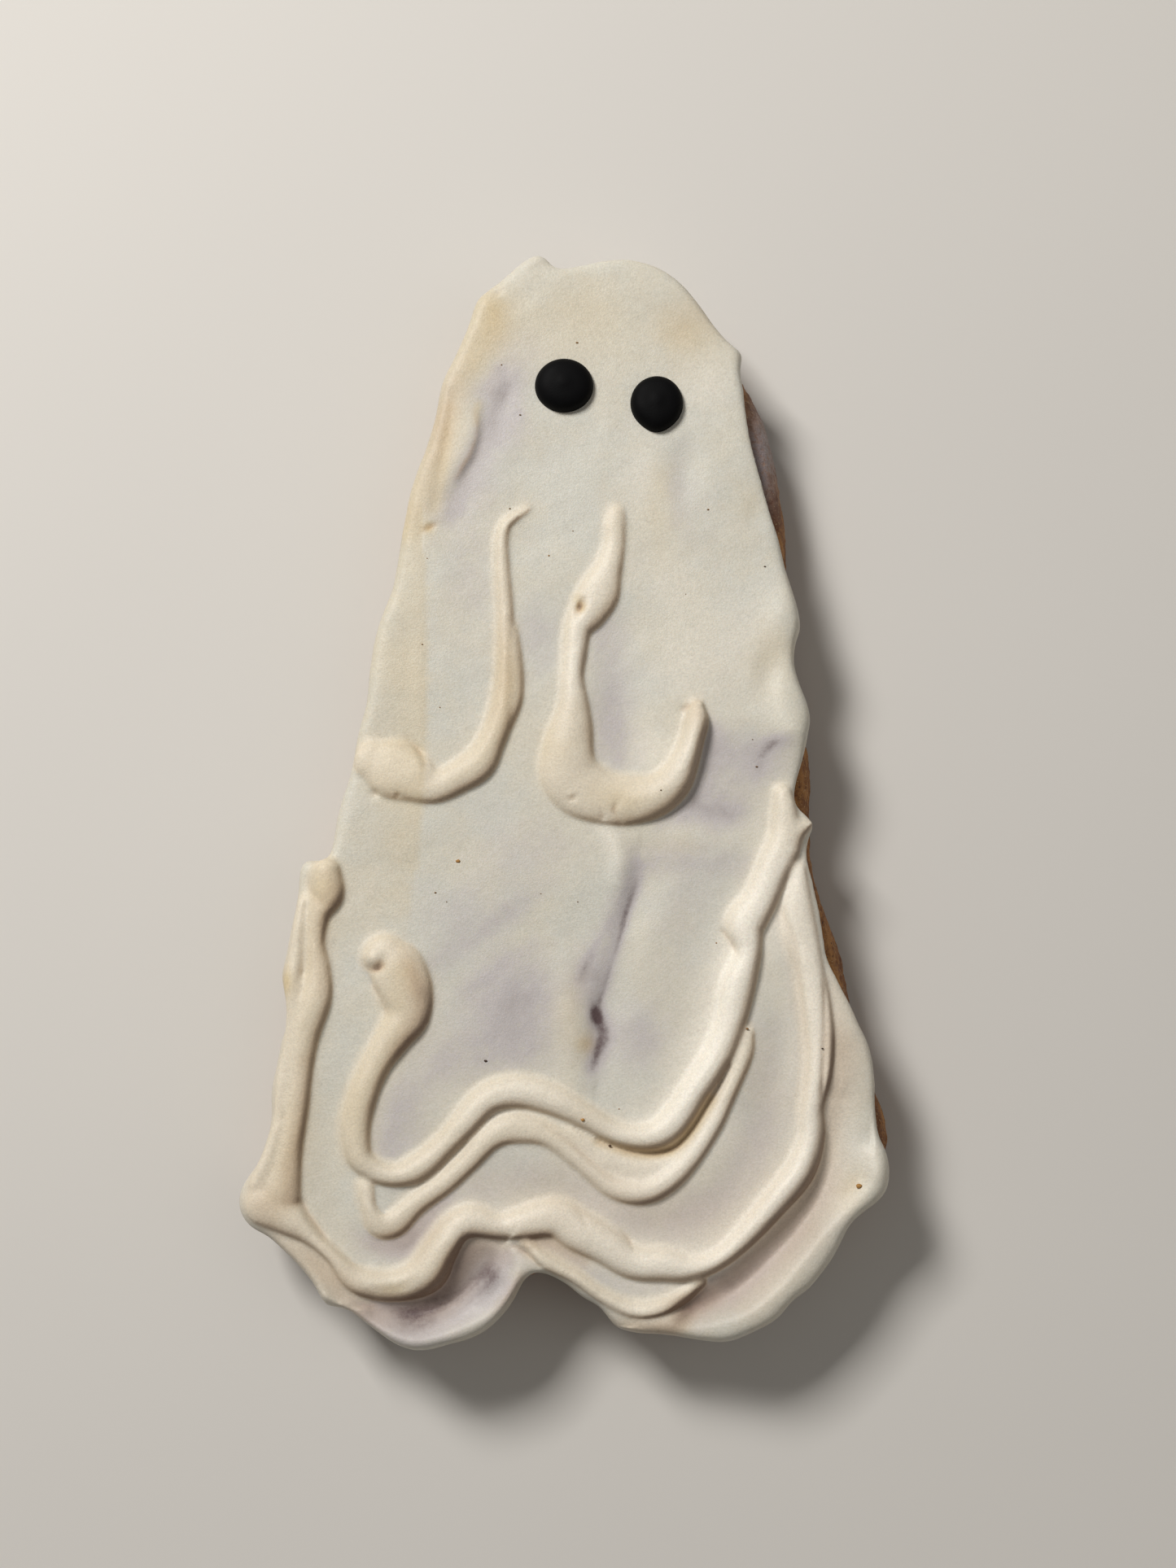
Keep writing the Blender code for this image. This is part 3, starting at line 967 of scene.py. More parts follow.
# The icing's edge, seen from above, clockwise from the top of the head
ICING_OUTLINE = (
    # head
    (-3.4, 54.3), (-2.0, 54.3), (-0.8, 52.9), (1.2, 53.2), (3.8, 53.8), (7.0, 53.9), (10.6, 52.5),
    (13.3, 49.8), (15.0, 47.3), (16.7, 45.1), (18.0, 44.1), (17.8, 42.2), (18.1, 39.6),
    # right side
    (18.4, 36.6), (19.0, 33.4), (19.8, 30.4), (20.6, 27.4), (21.5, 24.5), (22.3, 21.3), (23.3, 18.0),
    (23.6, 15.8), (23.0, 13.8), (23.0, 11.5), (24.1, 8.3), (24.4, 6.2), (23.6, 2.7), (22.7, -0.8),
    (23.0, -2.3), (24.6, -3.8), (24.0, -5.5), (23.9, -7.4), (24.6, -10.5), (25.2, -13.6), (25.6, -16.7),
    (26.5, -18.8), (27.6, -21.0), (28.9, -23.7), (29.9, -26.2), (30.2, -29.0), (30.2, -31.8),
    (30.5, -34.1), (31.4, -36.3), (31.5, -38.5), (30.8, -40.1), (29.0, -41.5),
    # right foot
    (27.6, -42.8), (26.0, -45.8), (23.8, -48.6), (22.1, -49.8), (20.7, -51.5), (18.3, -52.8), (15.6, -53.8),
    (12.0, -53.4), (9.2, -53.0), (6.8, -52.9), (4.9, -52.2), (3.6, -50.5), (1.9, -49.6), (0.2, -48.2),
    # notch
    (-2.3, -47.1), (-3.7, -47.8), (-4.5, -49.4),
    # left foot
    (-6.2, -51.7), (-8.1, -53.1), (-10.6, -53.9), (-13.1, -54.5), (-15.3, -54.3), (-18.2, -52.5),
    (-20.8, -50.6), (-22.7, -50.4), (-23.6, -48.8), (-25.2, -46.8), (-26.9, -45.1), (-28.5, -43.8),
    (-30.2, -42.9), (-31.2, -41.5), (-31.2, -39.3),
    # left side
    (-29.6, -36.8), (-28.7, -34.3), (-28.3, -32.2), (-28.4, -29.8), (-27.8, -26.9), (-27.5, -25.0),
    (-26.8, -22.6), (-27.6, -19.0), (-27.2, -16.9), (-26.7, -13.9), (-26.1, -10.8), (-26.0, -8.5),
    (-25.4, -7.4), (-23.4, -7.4), (-22.8, -6.1), (-22.2, -2.5), (-21.1, 1.2), (-20.5, 4.7), (-19.6, 8.5),
    (-19.3, 11.9), (-18.7, 15.5), (-17.2, 19.7), (-16.6, 23.1), (-16.0, 27.0), (-15.2, 30.7),
    (-13.9, 34.4), (-13.0, 37.7), (-12.4, 41.0), (-10.9, 44.2), (-9.7, 47.2), (-8.9, 49.7),
    (-7.3, 51.0), (-5.4, 52.7),
)

# Broad folds of the coat, in millimetres up (above zero) and down (below zero)
FOLDS = (
    # turned-over edge at the left of the head
    Stroke(2.6, 1.8, (
        (-14.6, 25.6, 0.05), (-12.7, 30.5, 0.12), (-11.0, 35.0, 0.15), (-10.0, 39.6, 0.1),
        (-8.0, 46.6, 0.0),
    )),
    Stroke(1.8, 1.0, ((-5.0, 40.2, -0.05), (-7.2, 36.6, -0.15), (-8.8, 33.0, -0.18), (-11.0, 28.4, -0.1))),
    # centre groove, with a ridge on its left
    Stroke(2.4, 1.1, (
        (7.5, -7.0, -0.15), (7.3, -10.0, -0.45), (6.3, -12.8, -0.45), (5.6, -15.2, -0.3),
        (4.6, -19.0, -0.35), (3.7, -22.4, -0.55), (3.5, -25.0, -0.45), (3.2, -28.0, -0.2),
    )),
    Stroke(1.7, 1.5, ((0.2, -17.5, 0.1), (0.5, -20.4, 0.25), (1.0, -24.6, 0.4), (1.2, -28.4, 0.25))),
    Stroke(1.0, 1.0, ((4.5, -4.6, 0.15), (5.6, -7.2, 0.25), (5.4, -9.6, 0.2))),
    # left foot: rolled rim round a hollow
    Stroke(0.9, 2.6, (
        (-20.4, -50.5, 0.4), (-17.6, -52.4, 0.7), (-14.8, -53.5, 0.8), (-12.2, -53.4, 0.8),
        (-9.4, -52.4, 0.8), (-6.6, -51.0, 0.8), (-4.8, -48.9, 0.8), (-4.0, -46.8, 0.5),
        (-4.4, -45.4, 0.2),
    )),
    Stroke(2.0, 1.0, (
        (-17.6, -50.6, -0.6), (-14.2, -50.9, -1.1), (-11.2, -50.1, -1.3), (-8.8, -48.2, -1.3),
        (-7.2, -46.4, -1.1), (-6.2, -45.2, -0.5),
    )),
    Stroke(0.8, 0.8, ((-26.6, -44.8, 0.2), (-24.6, -46.9, 0.35), (-22.9, -49.3, 0.5))),
    # right foot: rolled rim round a hollow
    Stroke(1.1, 2.6, (
        (8.0, -52.2, 0.4), (13.0, -52.3, 0.6), (17.6, -51.1, 0.7), (20.8, -48.7, 0.8), (23.4, -45.7, 0.8),
        (25.6, -43.1, 0.8), (28.0, -41.0, 0.7), (29.8, -38.8, 0.8), (29.9, -36.2, 0.6),
    )),
    Stroke(1.9, 1.4, (
        (12.6, -50.4, -0.8), (16.4, -48.8, -1.5), (19.8, -45.7, -1.4), (22.8, -42.3, -1.3),
        (25.0, -38.8, -1.2), (26.1, -35.0, -1.0), (26.6, -31.0, -0.5),
    )),
    Spot(30.2, -37.4, 0.3, 0.9, 1.6),
    # bulges and dips of the right side
    Stroke(2.0, 2.0, (
        (22.3, 20.0, 0.2), (22.0, 16.6, 0.45), (20.9, 12.6, 0.05), (22.0, 8.0, 0.4), (22.6, 5.6, 0.5),
    )),
    Spot(15.8, 31.0, 0.1, 2.2, 3.0),
    Spot(12.0, 31.6, -0.3, 1.6, 3.2),
    Spot(19.4, 27.4, -0.2, 1.3, 2.0),
    Spot(20.2, 10.9, -0.35, 1.2, 2.0),
    # thick layer that ends above the right arm's tip
    Stroke(3.4, 1.6, ((22.4, 5.6, 0.25), (18.9, 6.2, 0.2), (15.2, 6.0, 0.15), (13.0, 6.0, 0.0))),
    # soft step under the right arm
    Stroke(2.8, 1.6, ((19.4, -6.2, 0.15), (13.6, -5.6, 0.15), (9.6, -5.6, 0.1), (6.8, -6.0, 0.0))),
    # long break line down the left shoulder
    Stroke(1.2, 3.4, ((-14.6, -8.1, 0.0), (-13.9, 0.3, 0.1), (-13.8, 9.0, 0.14), (-14.0, 22.9, 0.12))),
    # shallow hollows inside the right arm and under the curl
    Stroke(3.0, 3.0, ((4.6, 15.0, -0.25), (5.2, 8.0, -0.4), (6.0, 3.4, -0.35))),
    Stroke(2.4, 2.4, (
        (-11.4, -39.6, -0.2), (-17.2, -44.6, -0.35), (-22.0, -41.0, -0.3), (-22.6, -32.0, -0.2),
    )),
    Stroke(2.4, 2.4, ((21.2, -20.0, -0.2), (20.2, -29.0, -0.35), (15.6, -38.4, -0.35), (8.4, -42.6, -0.2))),
)

# Fine creases, dimples and nozzle marks, cut after the lines have fused with the coat; each cut is
# also painted with brown shade
CREASES = (
    # head
    Stroke(0.35, 1.8, (
        (-8.4, 39.2, 0.0), (-8.7, 37.2, 0.16), (-8.8, 35.2, 0.28), (-9.4, 33.2, 0.34), (-10.2, 31.8, 0.3),
        (-11.0, 30.4, 0.1), (-11.6, 29.2, 0.0),
    )),
    Stroke(0.5, 0.5, (
        (-11.0, 41.0, -0.03), (-11.6, 36.0, -0.07), (-12.5, 31.0, -0.08), (-13.1, 27.4, -0.05),
    )),
    Stroke(0.35, 0.3, ((-12.5, 26.2, 0.0), (-13.2, 25.9, -0.14), (-13.9, 25.5, -0.08))),
    Stroke(0.5, 0.3, ((-7.4, 49.6, -0.05), (-6.6, 50.1, -0.14), (-6.0, 50.6, 0.0))),
    Spot(-2.4, 52.8, -0.12, 1.4, 0.6),
    # left arm
    Stroke(0.35, 0.3, ((-15.2, 4.3, -0.08), (-14.2, 3.2, -0.26), (-13.5, 1.7, -0.16))),
    Spot(-18.5, -0.9, -0.2, 0.5, 0.4),
    Spot(-16.2, -1.2, -0.2, 0.25, 0.25),
    # right arm
    Spot(1.6, 17.6, -0.6, 0.42, 0.85, -25.0),
    Spot(0.9, -1.5, -0.16, 0.5, 0.3, 30.0),
    Spot(0.7, -1.2, 0.1, 0.3, 0.3),
    Stroke(0.25, 0.25, ((5.4, -1.8, -0.05), (5.0, -2.7, -0.2), (5.6, -3.8, -0.15))),
    Stroke(0.2, 0.2, ((3.6, -2.4, 0.0), (3.9, -3.4, -0.15))),
    Stroke(0.3, 0.3, ((11.0, 7.0, 0.0), (12.4, 7.7, -0.25), (13.1, 8.1, -0.2))),
    # curl
    Stroke(0.4, 0.4, (
        (-19.2, -17.7, -0.1), (-18.4, -18.2, -0.3), (-17.7, -18.0, -0.34), (-17.3, -17.2, -0.1),
    )),
    Spot(-18.6, -17.1, 0.3, 0.75, 0.75),
    Stroke(0.35, 0.3, (
        (-19.4, -18.5, -0.05), (-18.4, -19.9, -0.16), (-17.5, -21.2, -0.14), (-17.1, -22.6, -0.05),
    )),
    Stroke(0.25, 0.25, ((15.5, -14.4, -0.14), (16.2, -15.3, -0.22), (17.0, -16.8, -0.1))),
    # second line, where it is two strands wide
    Stroke(0.3, 0.3, ((-1.6, -33.2, -0.1), (0.8, -34.9, -0.25), (3.2, -37.0, -0.25), (5.0, -38.4, -0.1))),
    Stroke(0.4, 0.4, (
        (16.0, -27.5, -0.2), (14.2, -30.7, -0.4), (12.1, -33.9, -0.4), (10.0, -35.6, -0.5),
        (6.8, -35.7, -0.4), (3.4, -34.7, -0.2),
    )),
    # second strand of the right border
    Stroke(0.3, 0.25, (
        (25.2, -17.6, 0.0), (25.3, -21.0, -0.15), (25.2, -25.0, -0.2), (25.0, -29.0, -0.25),
        (24.9, -31.0, 0.0),
    )),
    Stroke(0.3, 0.7, (
        (21.0, -10.8, 0.0), (21.5, -13.0, -0.2), (22.4, -15.4, -0.25), (22.8, -18.4, -0.25),
        (23.2, -22.0, -0.25), (23.6, -26.0, -0.25), (23.3, -30.0, -0.2), (22.5, -33.4, 0.0),
    )),
    # hem
    Stroke(0.45, 0.4, (
        (-18.4, -48.4, 0.0), (-16.9, -48.6, -0.1), (-14.9, -48.2, -0.1), (-13.6, -47.0, 0.0),
    )),
    Stroke(0.25, 0.25, ((1.0, -40.8, 0.0), (1.7, -41.6, -0.13), (2.4, -42.7, -0.08))),
    Stroke(0.25, 0.25, ((5.4, -42.9, 0.0), (6.2, -43.9, -0.15), (6.8, -44.9, -0.08))),
    # toe line, where it leaves the hem
    Stroke(0.3, 0.3, ((-4.7, -44.5, -0.2), (-3.4, -45.4, -0.3), (-2.3, -46.4, -0.2))),
    # left border: outer flap, block and the blob at its foot
    Stroke(0.4, 0.4, ((-25.2, -8.6, -0.05), (-24.8, -10.2, -0.14), (-23.6, -11.8, -0.1))),
    Stroke(0.35, 0.3, (
        (-25.0, -40.4, -0.15), (-24.4, -41.8, -0.3), (-23.2, -43.3, -0.25), (-22.4, -44.4, 0.0),
    )),
)


@dataclass(frozen=True)
class Coat:
    """The brushed coat of icing, whose edge hangs over the biscuit's side.

    Its profile runs from the top patch out and down to the lip, as pairs of how far it lies inside
    the edge and how high it is between lip and top.
    """

    top: float = 10.7
    samples: int = 640
    core_inset: float = 3.2
    core_passes: int = 40
    inset_step: float = 0.25
    inset_passes: int = 3
    lip_search: float = 2.2
    lip_passes: int = 30
    wobble: Ripple = Ripple(0.08, 0.7, 5.0)
    profile: tuple[tuple[float, float], ...] = (
        (1.5, 1.0), (0.65, 0.985), (0.18, 0.9), (0.0, 0.74), (0.1, 0.42), (0.45, 0.12), (1.1, 0.0),
    )
    profile_span: int = 3

    def inset(self, loop: np.ndarray, distance: float) -> np.ndarray:
        """Move a loop inwards in small steps, so that tight corners stay open.

        Args:
            loop: the loop's points.
            distance: how far to move them.

        Returns:
            The moved points.
        """
        steps = max(1, math.ceil(distance / self.inset_step))
        for _ in range(steps):
            loop = relaxed(loop - outward(loop) * distance / steps, self.inset_passes)
        return loop

    def lip(self, edge: np.ndarray, solid: np.ndarray) -> np.ndarray:
        """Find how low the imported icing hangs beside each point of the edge.

        Args:
            edge: the coat's outline, as rows of x and y.
            solid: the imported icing's points on the plan.

        Returns:
            A height for each point of the edge.
        """
        heights = []
        for place in edge:
            near = np.hypot(*(solid[:, :2] - place).T) < self.lip_search
            heights.append(solid[near, 2].min())
        return relaxed(np.array(heights), self.lip_passes)

    def rings(self, solid: np.ndarray) -> list[np.ndarray]:
        """Draw the coat's rings, from its lower core up to the edge of its top patch.

        Args:
            solid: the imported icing's points on the plan.

        Returns:
            The points of each ring.
        """
        knots = np.array(ICING_OUTLINE[::-1])
        edge = evenly_spaced(smooth_curve(knots, closed=True), self.samples, closed=True)
        level = np.column_stack([edge, np.zeros(len(edge))])
        edge = edge + outward(edge) * self.wobble.at(level)[:, None]
        lip = self.lip(edge, solid)
        core = relaxed(self.inset(edge, self.core_inset), self.core_passes)
        rings = [np.column_stack([core, lip])]
        for inward, share in smooth_curve(np.array(self.profile[::-1]), False, self.profile_span):
            ring = self.inset(edge, inward) if inward > 0.0 else edge
            rings.append(np.column_stack([ring, lip + (self.top - lip) * share]))
        return rings

    def solid(self, plan: Plan) -> bpy.types.Object:
        """Build the coat as a closed body, hollowed to sit on the biscuit.

        Args:
            plan: where the plan lies.

        Returns:
            The coat, on the plan.
        """
        packed = plan.solid("icing")
        rings = self.rings(Surface(packed.data).points)
        bpy.data.objects.remove(packed)
        top = (len(rings) - 1) * self.samples
        faces = loft_faces(len(rings), self.samples)
        faces.append(tuple(range(self.samples))[::-1])
        faces.append(tuple(range(top, top + self.samples)))
        coat = add_mesh("coat", np.vstack(rings), faces)
        biscuit = plan.solid("biscuit")
        apply_modifier(coat, "BOOLEAN", operation="DIFFERENCE", solver="EXACT", object=biscuit)
        bpy.data.objects.remove(biscuit)
        return coat


@dataclass(frozen=True)
class PipedLine:
    """A line of icing piped on the coat, as rows of x, y, half width and height.

    Its section is nearly an ellipse that leans with the slump and stands on a foot in the coat. Its
    caps are rounded by rings at angles from its last full section.
    """

    knots: tuple[tuple[float, float, float, float], ...]
    squareness: float = 2.05
    lean: float = 0.14
    sides: int = 28
    step: float = 0.3
    least_steps: int = 4
    foot: float = 0.9
    cap_angles: tuple[float, ...] = (18.0, 35.0, 55.0, 75.0)

    def centre(self) -> np.ndarray:
        """Walk the line.

        Returns:
            Close points of x, y, half width and height.
        """
        dense = smooth_curve(np.array(self.knots), closed=False)
        length = np.hypot(*np.diff(dense[:, :2], axis=0).T).sum()
        count = max(self.least_steps, round(length / self.step))
        return evenly_spaced(dense, count, closed=False)

    def solid(self, level: float) -> tuple[np.ndarray, list]:
        """Build a tube with round ends.

        Args:
            level: the height at which the line lies.

        Returns:
            The points and the faces.
        """
        line = self.centre()
        along = np.gradient(line[:, :2], axis=0)
        along /= np.linalg.norm(along, axis=1, keepdims=True)
        rows = list(zip(line[:, :2], along, line[:, 2:]))
        for angle in np.radians(self.cap_angles):
            reach, share = line[:, 2] * math.sin(angle), math.cos(angle)
            rows.insert(0, (line[0, :2] - along[0] * reach[0], along[0], line[0, 2:] * share))
            rows.append((line[-1, :2] + along[-1] * reach[-1], along[-1], line[-1, 2:] * share))
        rings = [self._ring(*row, level) for row in rows]
        start, end = line[0, :2] - along[0] * line[0, 2], line[-1, :2] + along[-1] * line[-1, 2]
        return shell_of(rings, (np.array([[*start, level]]), np.array([[*end, level]])))

    def _ring(self, place: np.ndarray, along: np.ndarray, size: np.ndarray, level: float) -> np.ndarray:
        """Draw one cross-section of the tube.

        Args:
            place: its x and y.
            along: the way in which the line runs there.
            size: its half width and height.
            level: the height at which the line lies.

        Returns:
            The section's points.
        """
        angles = np.linspace(0.0, 2.0 * math.pi, self.sides, endpoint=False)
        power = 2.0 / self.squareness
        out, up = (np.sign(wave) * np.abs(wave) ** power for wave in (np.cos(angles), np.sin(angles)))
        across = np.array([-along[1], along[0]])
        out -= self.lean * (across @ SLUMP) * np.maximum(up, 0.0)
        flat = place + np.outer(out, across) * size[0]
        return np.column_stack([flat, level + np.maximum(up * size[1], -self.foot)])

    def nearest(self, points: np.ndarray) -> Nearest:
        """Return the line's nearest place to each point, whose first value is the half width."""
        return nearest_on(smooth_curve(np.array(self.knots), closed=False, per_span=MARK_SPAN), points)


PIPED_LINES = (
    # left arm
    PipedLine((
        (-3.7, 27.7, 0.3, 0.3), (-4.7, 27.0, 0.4, 0.45), (-5.8, 26.0, 0.5, 0.55), (-6.2, 24.4, 0.6, 0.55),
        (-6.1, 21.0, 0.7, 0.55), (-5.8, 17.0, 0.75, 0.65), (-5.8, 13.0, 0.75, 0.85), (-5.8, 9.9, 1.0, 1.0),
        (-6.2, 6.8, 1.2, 1.1), (-7.2, 4.1, 1.3, 1.1), (-8.4, 2.0, 1.6, 1.1), (-10.5, 0.6, 1.5, 1.0),
        (-12.8, -0.3, 1.6, 0.9), (-15.1, 0.8, 2.6, 1.0), (-17.2, 1.7, 2.8, 0.9), (-18.8, 2.4, 1.9, 0.6),
    )),
    # left arm flange
    PipedLine((
        (-5.4, 15.2, 0.8, 0.5), (-5.3, 12.7, 1.1, 0.75), (-5.2, 10.0, 1.2, 0.85), (-5.4, 8.1, 1.2, 0.85),
        (-6.0, 6.1, 1.0, 0.7),
    )),
    # right arm
    PipedLine((
        (5.2, 27.2, 0.8, 0.4), (5.1, 26.0, 1.0, 0.5), (5.0, 23.7, 1.0, 0.6), (4.3, 21.2, 1.4, 0.8),
        (3.5, 19.2, 2.0, 0.9), (2.4, 17.2, 1.8, 0.95), (1.4, 15.5, 1.3, 0.9), (1.1, 13.0, 1.1, 0.9),
        (0.9, 10.6, 1.0, 0.9), (1.0, 8.0, 1.4, 1.0), (0.8, 5.8, 2.0, 1.2), (0.4, 3.2, 2.5, 1.3),
        (0.6, 1.1, 2.9, 1.2), (1.8, -0.4, 2.9, 1.1), (4.0, -1.4, 2.5, 1.1), (6.3, -1.6, 2.4, 1.2),
        (8.9, -1.2, 2.0, 1.6), (10.8, 0.2, 1.7, 2.0), (11.9, 2.2, 1.3, 2.2), (12.6, 4.3, 1.1, 2.2),
        (13.1, 6.3, 1.1, 1.9), (13.1, 7.7, 0.7, 1.1),
    )),
    # curl
    PipedLine((
        (-17.4, -16.9, 2.1, 1.1), (-16.2, -18.2, 2.7, 1.3), (-15.3, -20.4, 2.6, 1.4),
        (-15.1, -22.5, 2.1, 1.3), (-16.3, -24.4, 1.7, 1.3), (-18.1, -27.2, 1.4, 1.2),
        (-19.4, -30.3, 1.4, 1.2), (-20.0, -33.3, 1.4, 1.1), (-19.6, -36.1, 1.2, 1.1),
        (-18.0, -37.5, 1.0, 1.0), (-16.0, -37.9, 1.0, 1.0), (-13.8, -37.1, 1.3, 1.1),
        (-11.4, -35.0, 1.1, 1.1), (-9.4, -32.8, 1.3, 1.2), (-7.3, -30.6, 1.4, 1.2), (-4.4, -29.9, 1.5, 1.1),
        (-1.1, -30.7, 1.4, 1.1), (2.3, -32.4, 1.1, 1.0), (5.4, -34.0, 1.0, 1.0), (8.4, -34.2, 1.2, 1.1),
        (10.5, -32.9, 1.4, 1.2), (12.6, -29.9, 1.3, 1.3), (14.8, -26.6, 1.4, 1.3), (16.2, -23.2, 1.4, 1.3),
        (17.0, -19.6, 1.6, 1.4), (18.0, -16.4, 1.2, 1.4), (17.7, -13.8, 1.9, 1.4), (19.1, -11.5, 1.6, 1.3),
        (20.4, -8.5, 1.6, 1.2), (21.7, -5.6, 1.6, 1.2), (21.7, -2.8, 1.2, 1.1), (21.5, -1.0, 0.9, 0.9),
    )),
    # second line
    PipedLine((
        (-19.0, -39.0, 0.8, 0.5), (-18.6, -41.0, 0.7, 0.7), (-17.8, -42.5, 1.1, 0.75),
        (-16.2, -42.5, 1.2, 0.75), (-14.1, -40.6, 1.0, 0.75), (-11.4, -38.6, 1.0, 0.8),
        (-9.1, -36.5, 1.0, 0.8), (-6.9, -34.2, 1.2, 0.8), (-4.5, -33.4, 1.4, 0.75),
        (-1.3, -34.1, 1.1, 0.75), (1.8, -36.5, 1.0, 0.8), (4.8, -39.0, 1.0, 0.85), (7.6, -39.5, 1.1, 0.9),
        (10.0, -38.4, 1.1, 0.9), (12.2, -36.2, 1.0, 0.85), (14.4, -33.0, 0.9, 0.8), (16.0, -29.8, 0.8, 0.7),
        (17.5, -26.4, 0.8, 0.65), (17.9, -24.3, 0.6, 0.5),
    )),
    # web
    PipedLine((
        (0.7, -34.0, 0.7, 0.25), (3.9, -36.1, 1.0, 0.3), (7.5, -37.5, 1.1, 0.3), (10.4, -36.6, 0.8, 0.25),
    )),
    # left border
    PipedLine((
        (-23.2, -8.7, 1.4, 1.2), (-23.1, -10.8, 1.6, 1.2), (-23.9, -12.8, 1.1, 0.9),
        (-24.2, -15.5, 0.9, 0.85), (-23.9, -18.1, 1.2, 0.95), (-24.1, -20.8, 1.6, 1.1),
        (-25.2, -24.2, 1.6, 1.1), (-25.6, -27.4, 1.4, 1.05), (-25.8, -31.2, 1.2, 1.0),
        (-26.4, -34.8, 1.3, 1.0), (-26.9, -37.4, 1.7, 1.0), (-27.4, -39.7, 2.2, 1.1),
    )),
    # left flap
    PipedLine((
        (-25.5, -11.5, 0.5, 0.4), (-25.8, -14.0, 0.6, 0.65), (-26.0, -17.0, 0.8, 0.75),
        (-26.3, -19.4, 0.9, 0.85), (-26.1, -22.2, 0.8, 0.7), (-26.6, -25.4, 0.6, 0.5),
        (-27.2, -29.0, 0.6, 0.7), (-27.4, -32.6, 0.6, 0.85), (-28.3, -36.0, 0.7, 0.95),
        (-29.5, -38.8, 0.8, 0.9),
    )),
    # right tip
    PipedLine((
        (21.2, -7.0, 1.2, 1.1), (22.1, -5.4, 1.2, 1.1), (23.0, -4.5, 0.9, 0.95), (23.8, -4.1, 0.5, 0.7),
        (24.2, -3.9, 0.25, 0.5),
    )),
    # hem
    PipedLine((
        (-28.5, -40.6, 2.1, 1.1), (-25.9, -42.2, 1.5, 1.1), (-23.9, -43.8, 0.8, 0.95),
        (-21.9, -45.6, 0.7, 1.0), (-20.1, -47.5, 1.1, 1.0), (-17.8, -48.3, 1.3, 1.1),
        (-15.2, -48.2, 1.5, 1.1), (-13.0, -47.1, 1.8, 1.6), (-11.9, -45.2, 1.6, 1.6),
        (-10.4, -43.0, 1.4, 1.4), (-8.7, -42.2, 1.5, 1.1), (-6.0, -42.8, 1.1, 1.0), (-3.5, -42.3, 1.5, 1.1),
        (-0.7, -41.9, 1.8, 1.2), (1.6, -43.2, 1.9, 1.2), (4.0, -44.5, 1.7, 1.2), (6.6, -46.1, 1.5, 1.2),
        (9.6, -46.3, 1.5, 1.2), (12.3, -46.7, 1.1, 1.1), (15.1, -45.7, 0.9, 1.1), (17.8, -43.3, 1.1, 1.2),
        (20.4, -40.4, 1.3, 1.4), (22.8, -37.5, 1.4, 1.4), (24.0, -34.3, 1.2, 1.2), (24.0, -31.4, 1.1, 1.0),
        (24.6, -28.2, 1.3, 1.0), (24.8, -24.6, 1.4, 1.0), (24.4, -20.8, 1.4, 0.95), (23.8, -17.6, 1.4, 0.9),
        (23.0, -14.4, 1.7, 0.8), (22.9, -11.0, 1.2, 0.7), (23.0, -8.5, 0.7, 0.6),
    )),
    # toe line
    PipedLine((
        (-3.4, -44.3, 0.4, 0.4), (-1.8, -45.8, 0.7, 0.6), (1.1, -47.4, 0.6, 0.65), (3.7, -49.2, 0.6, 0.65),
        (6.5, -50.5, 0.7, 0.7), (9.0, -50.4, 0.7, 0.75), (11.2, -49.4, 0.7, 0.75), (13.2, -48.0, 0.5, 0.6),
    )),
)
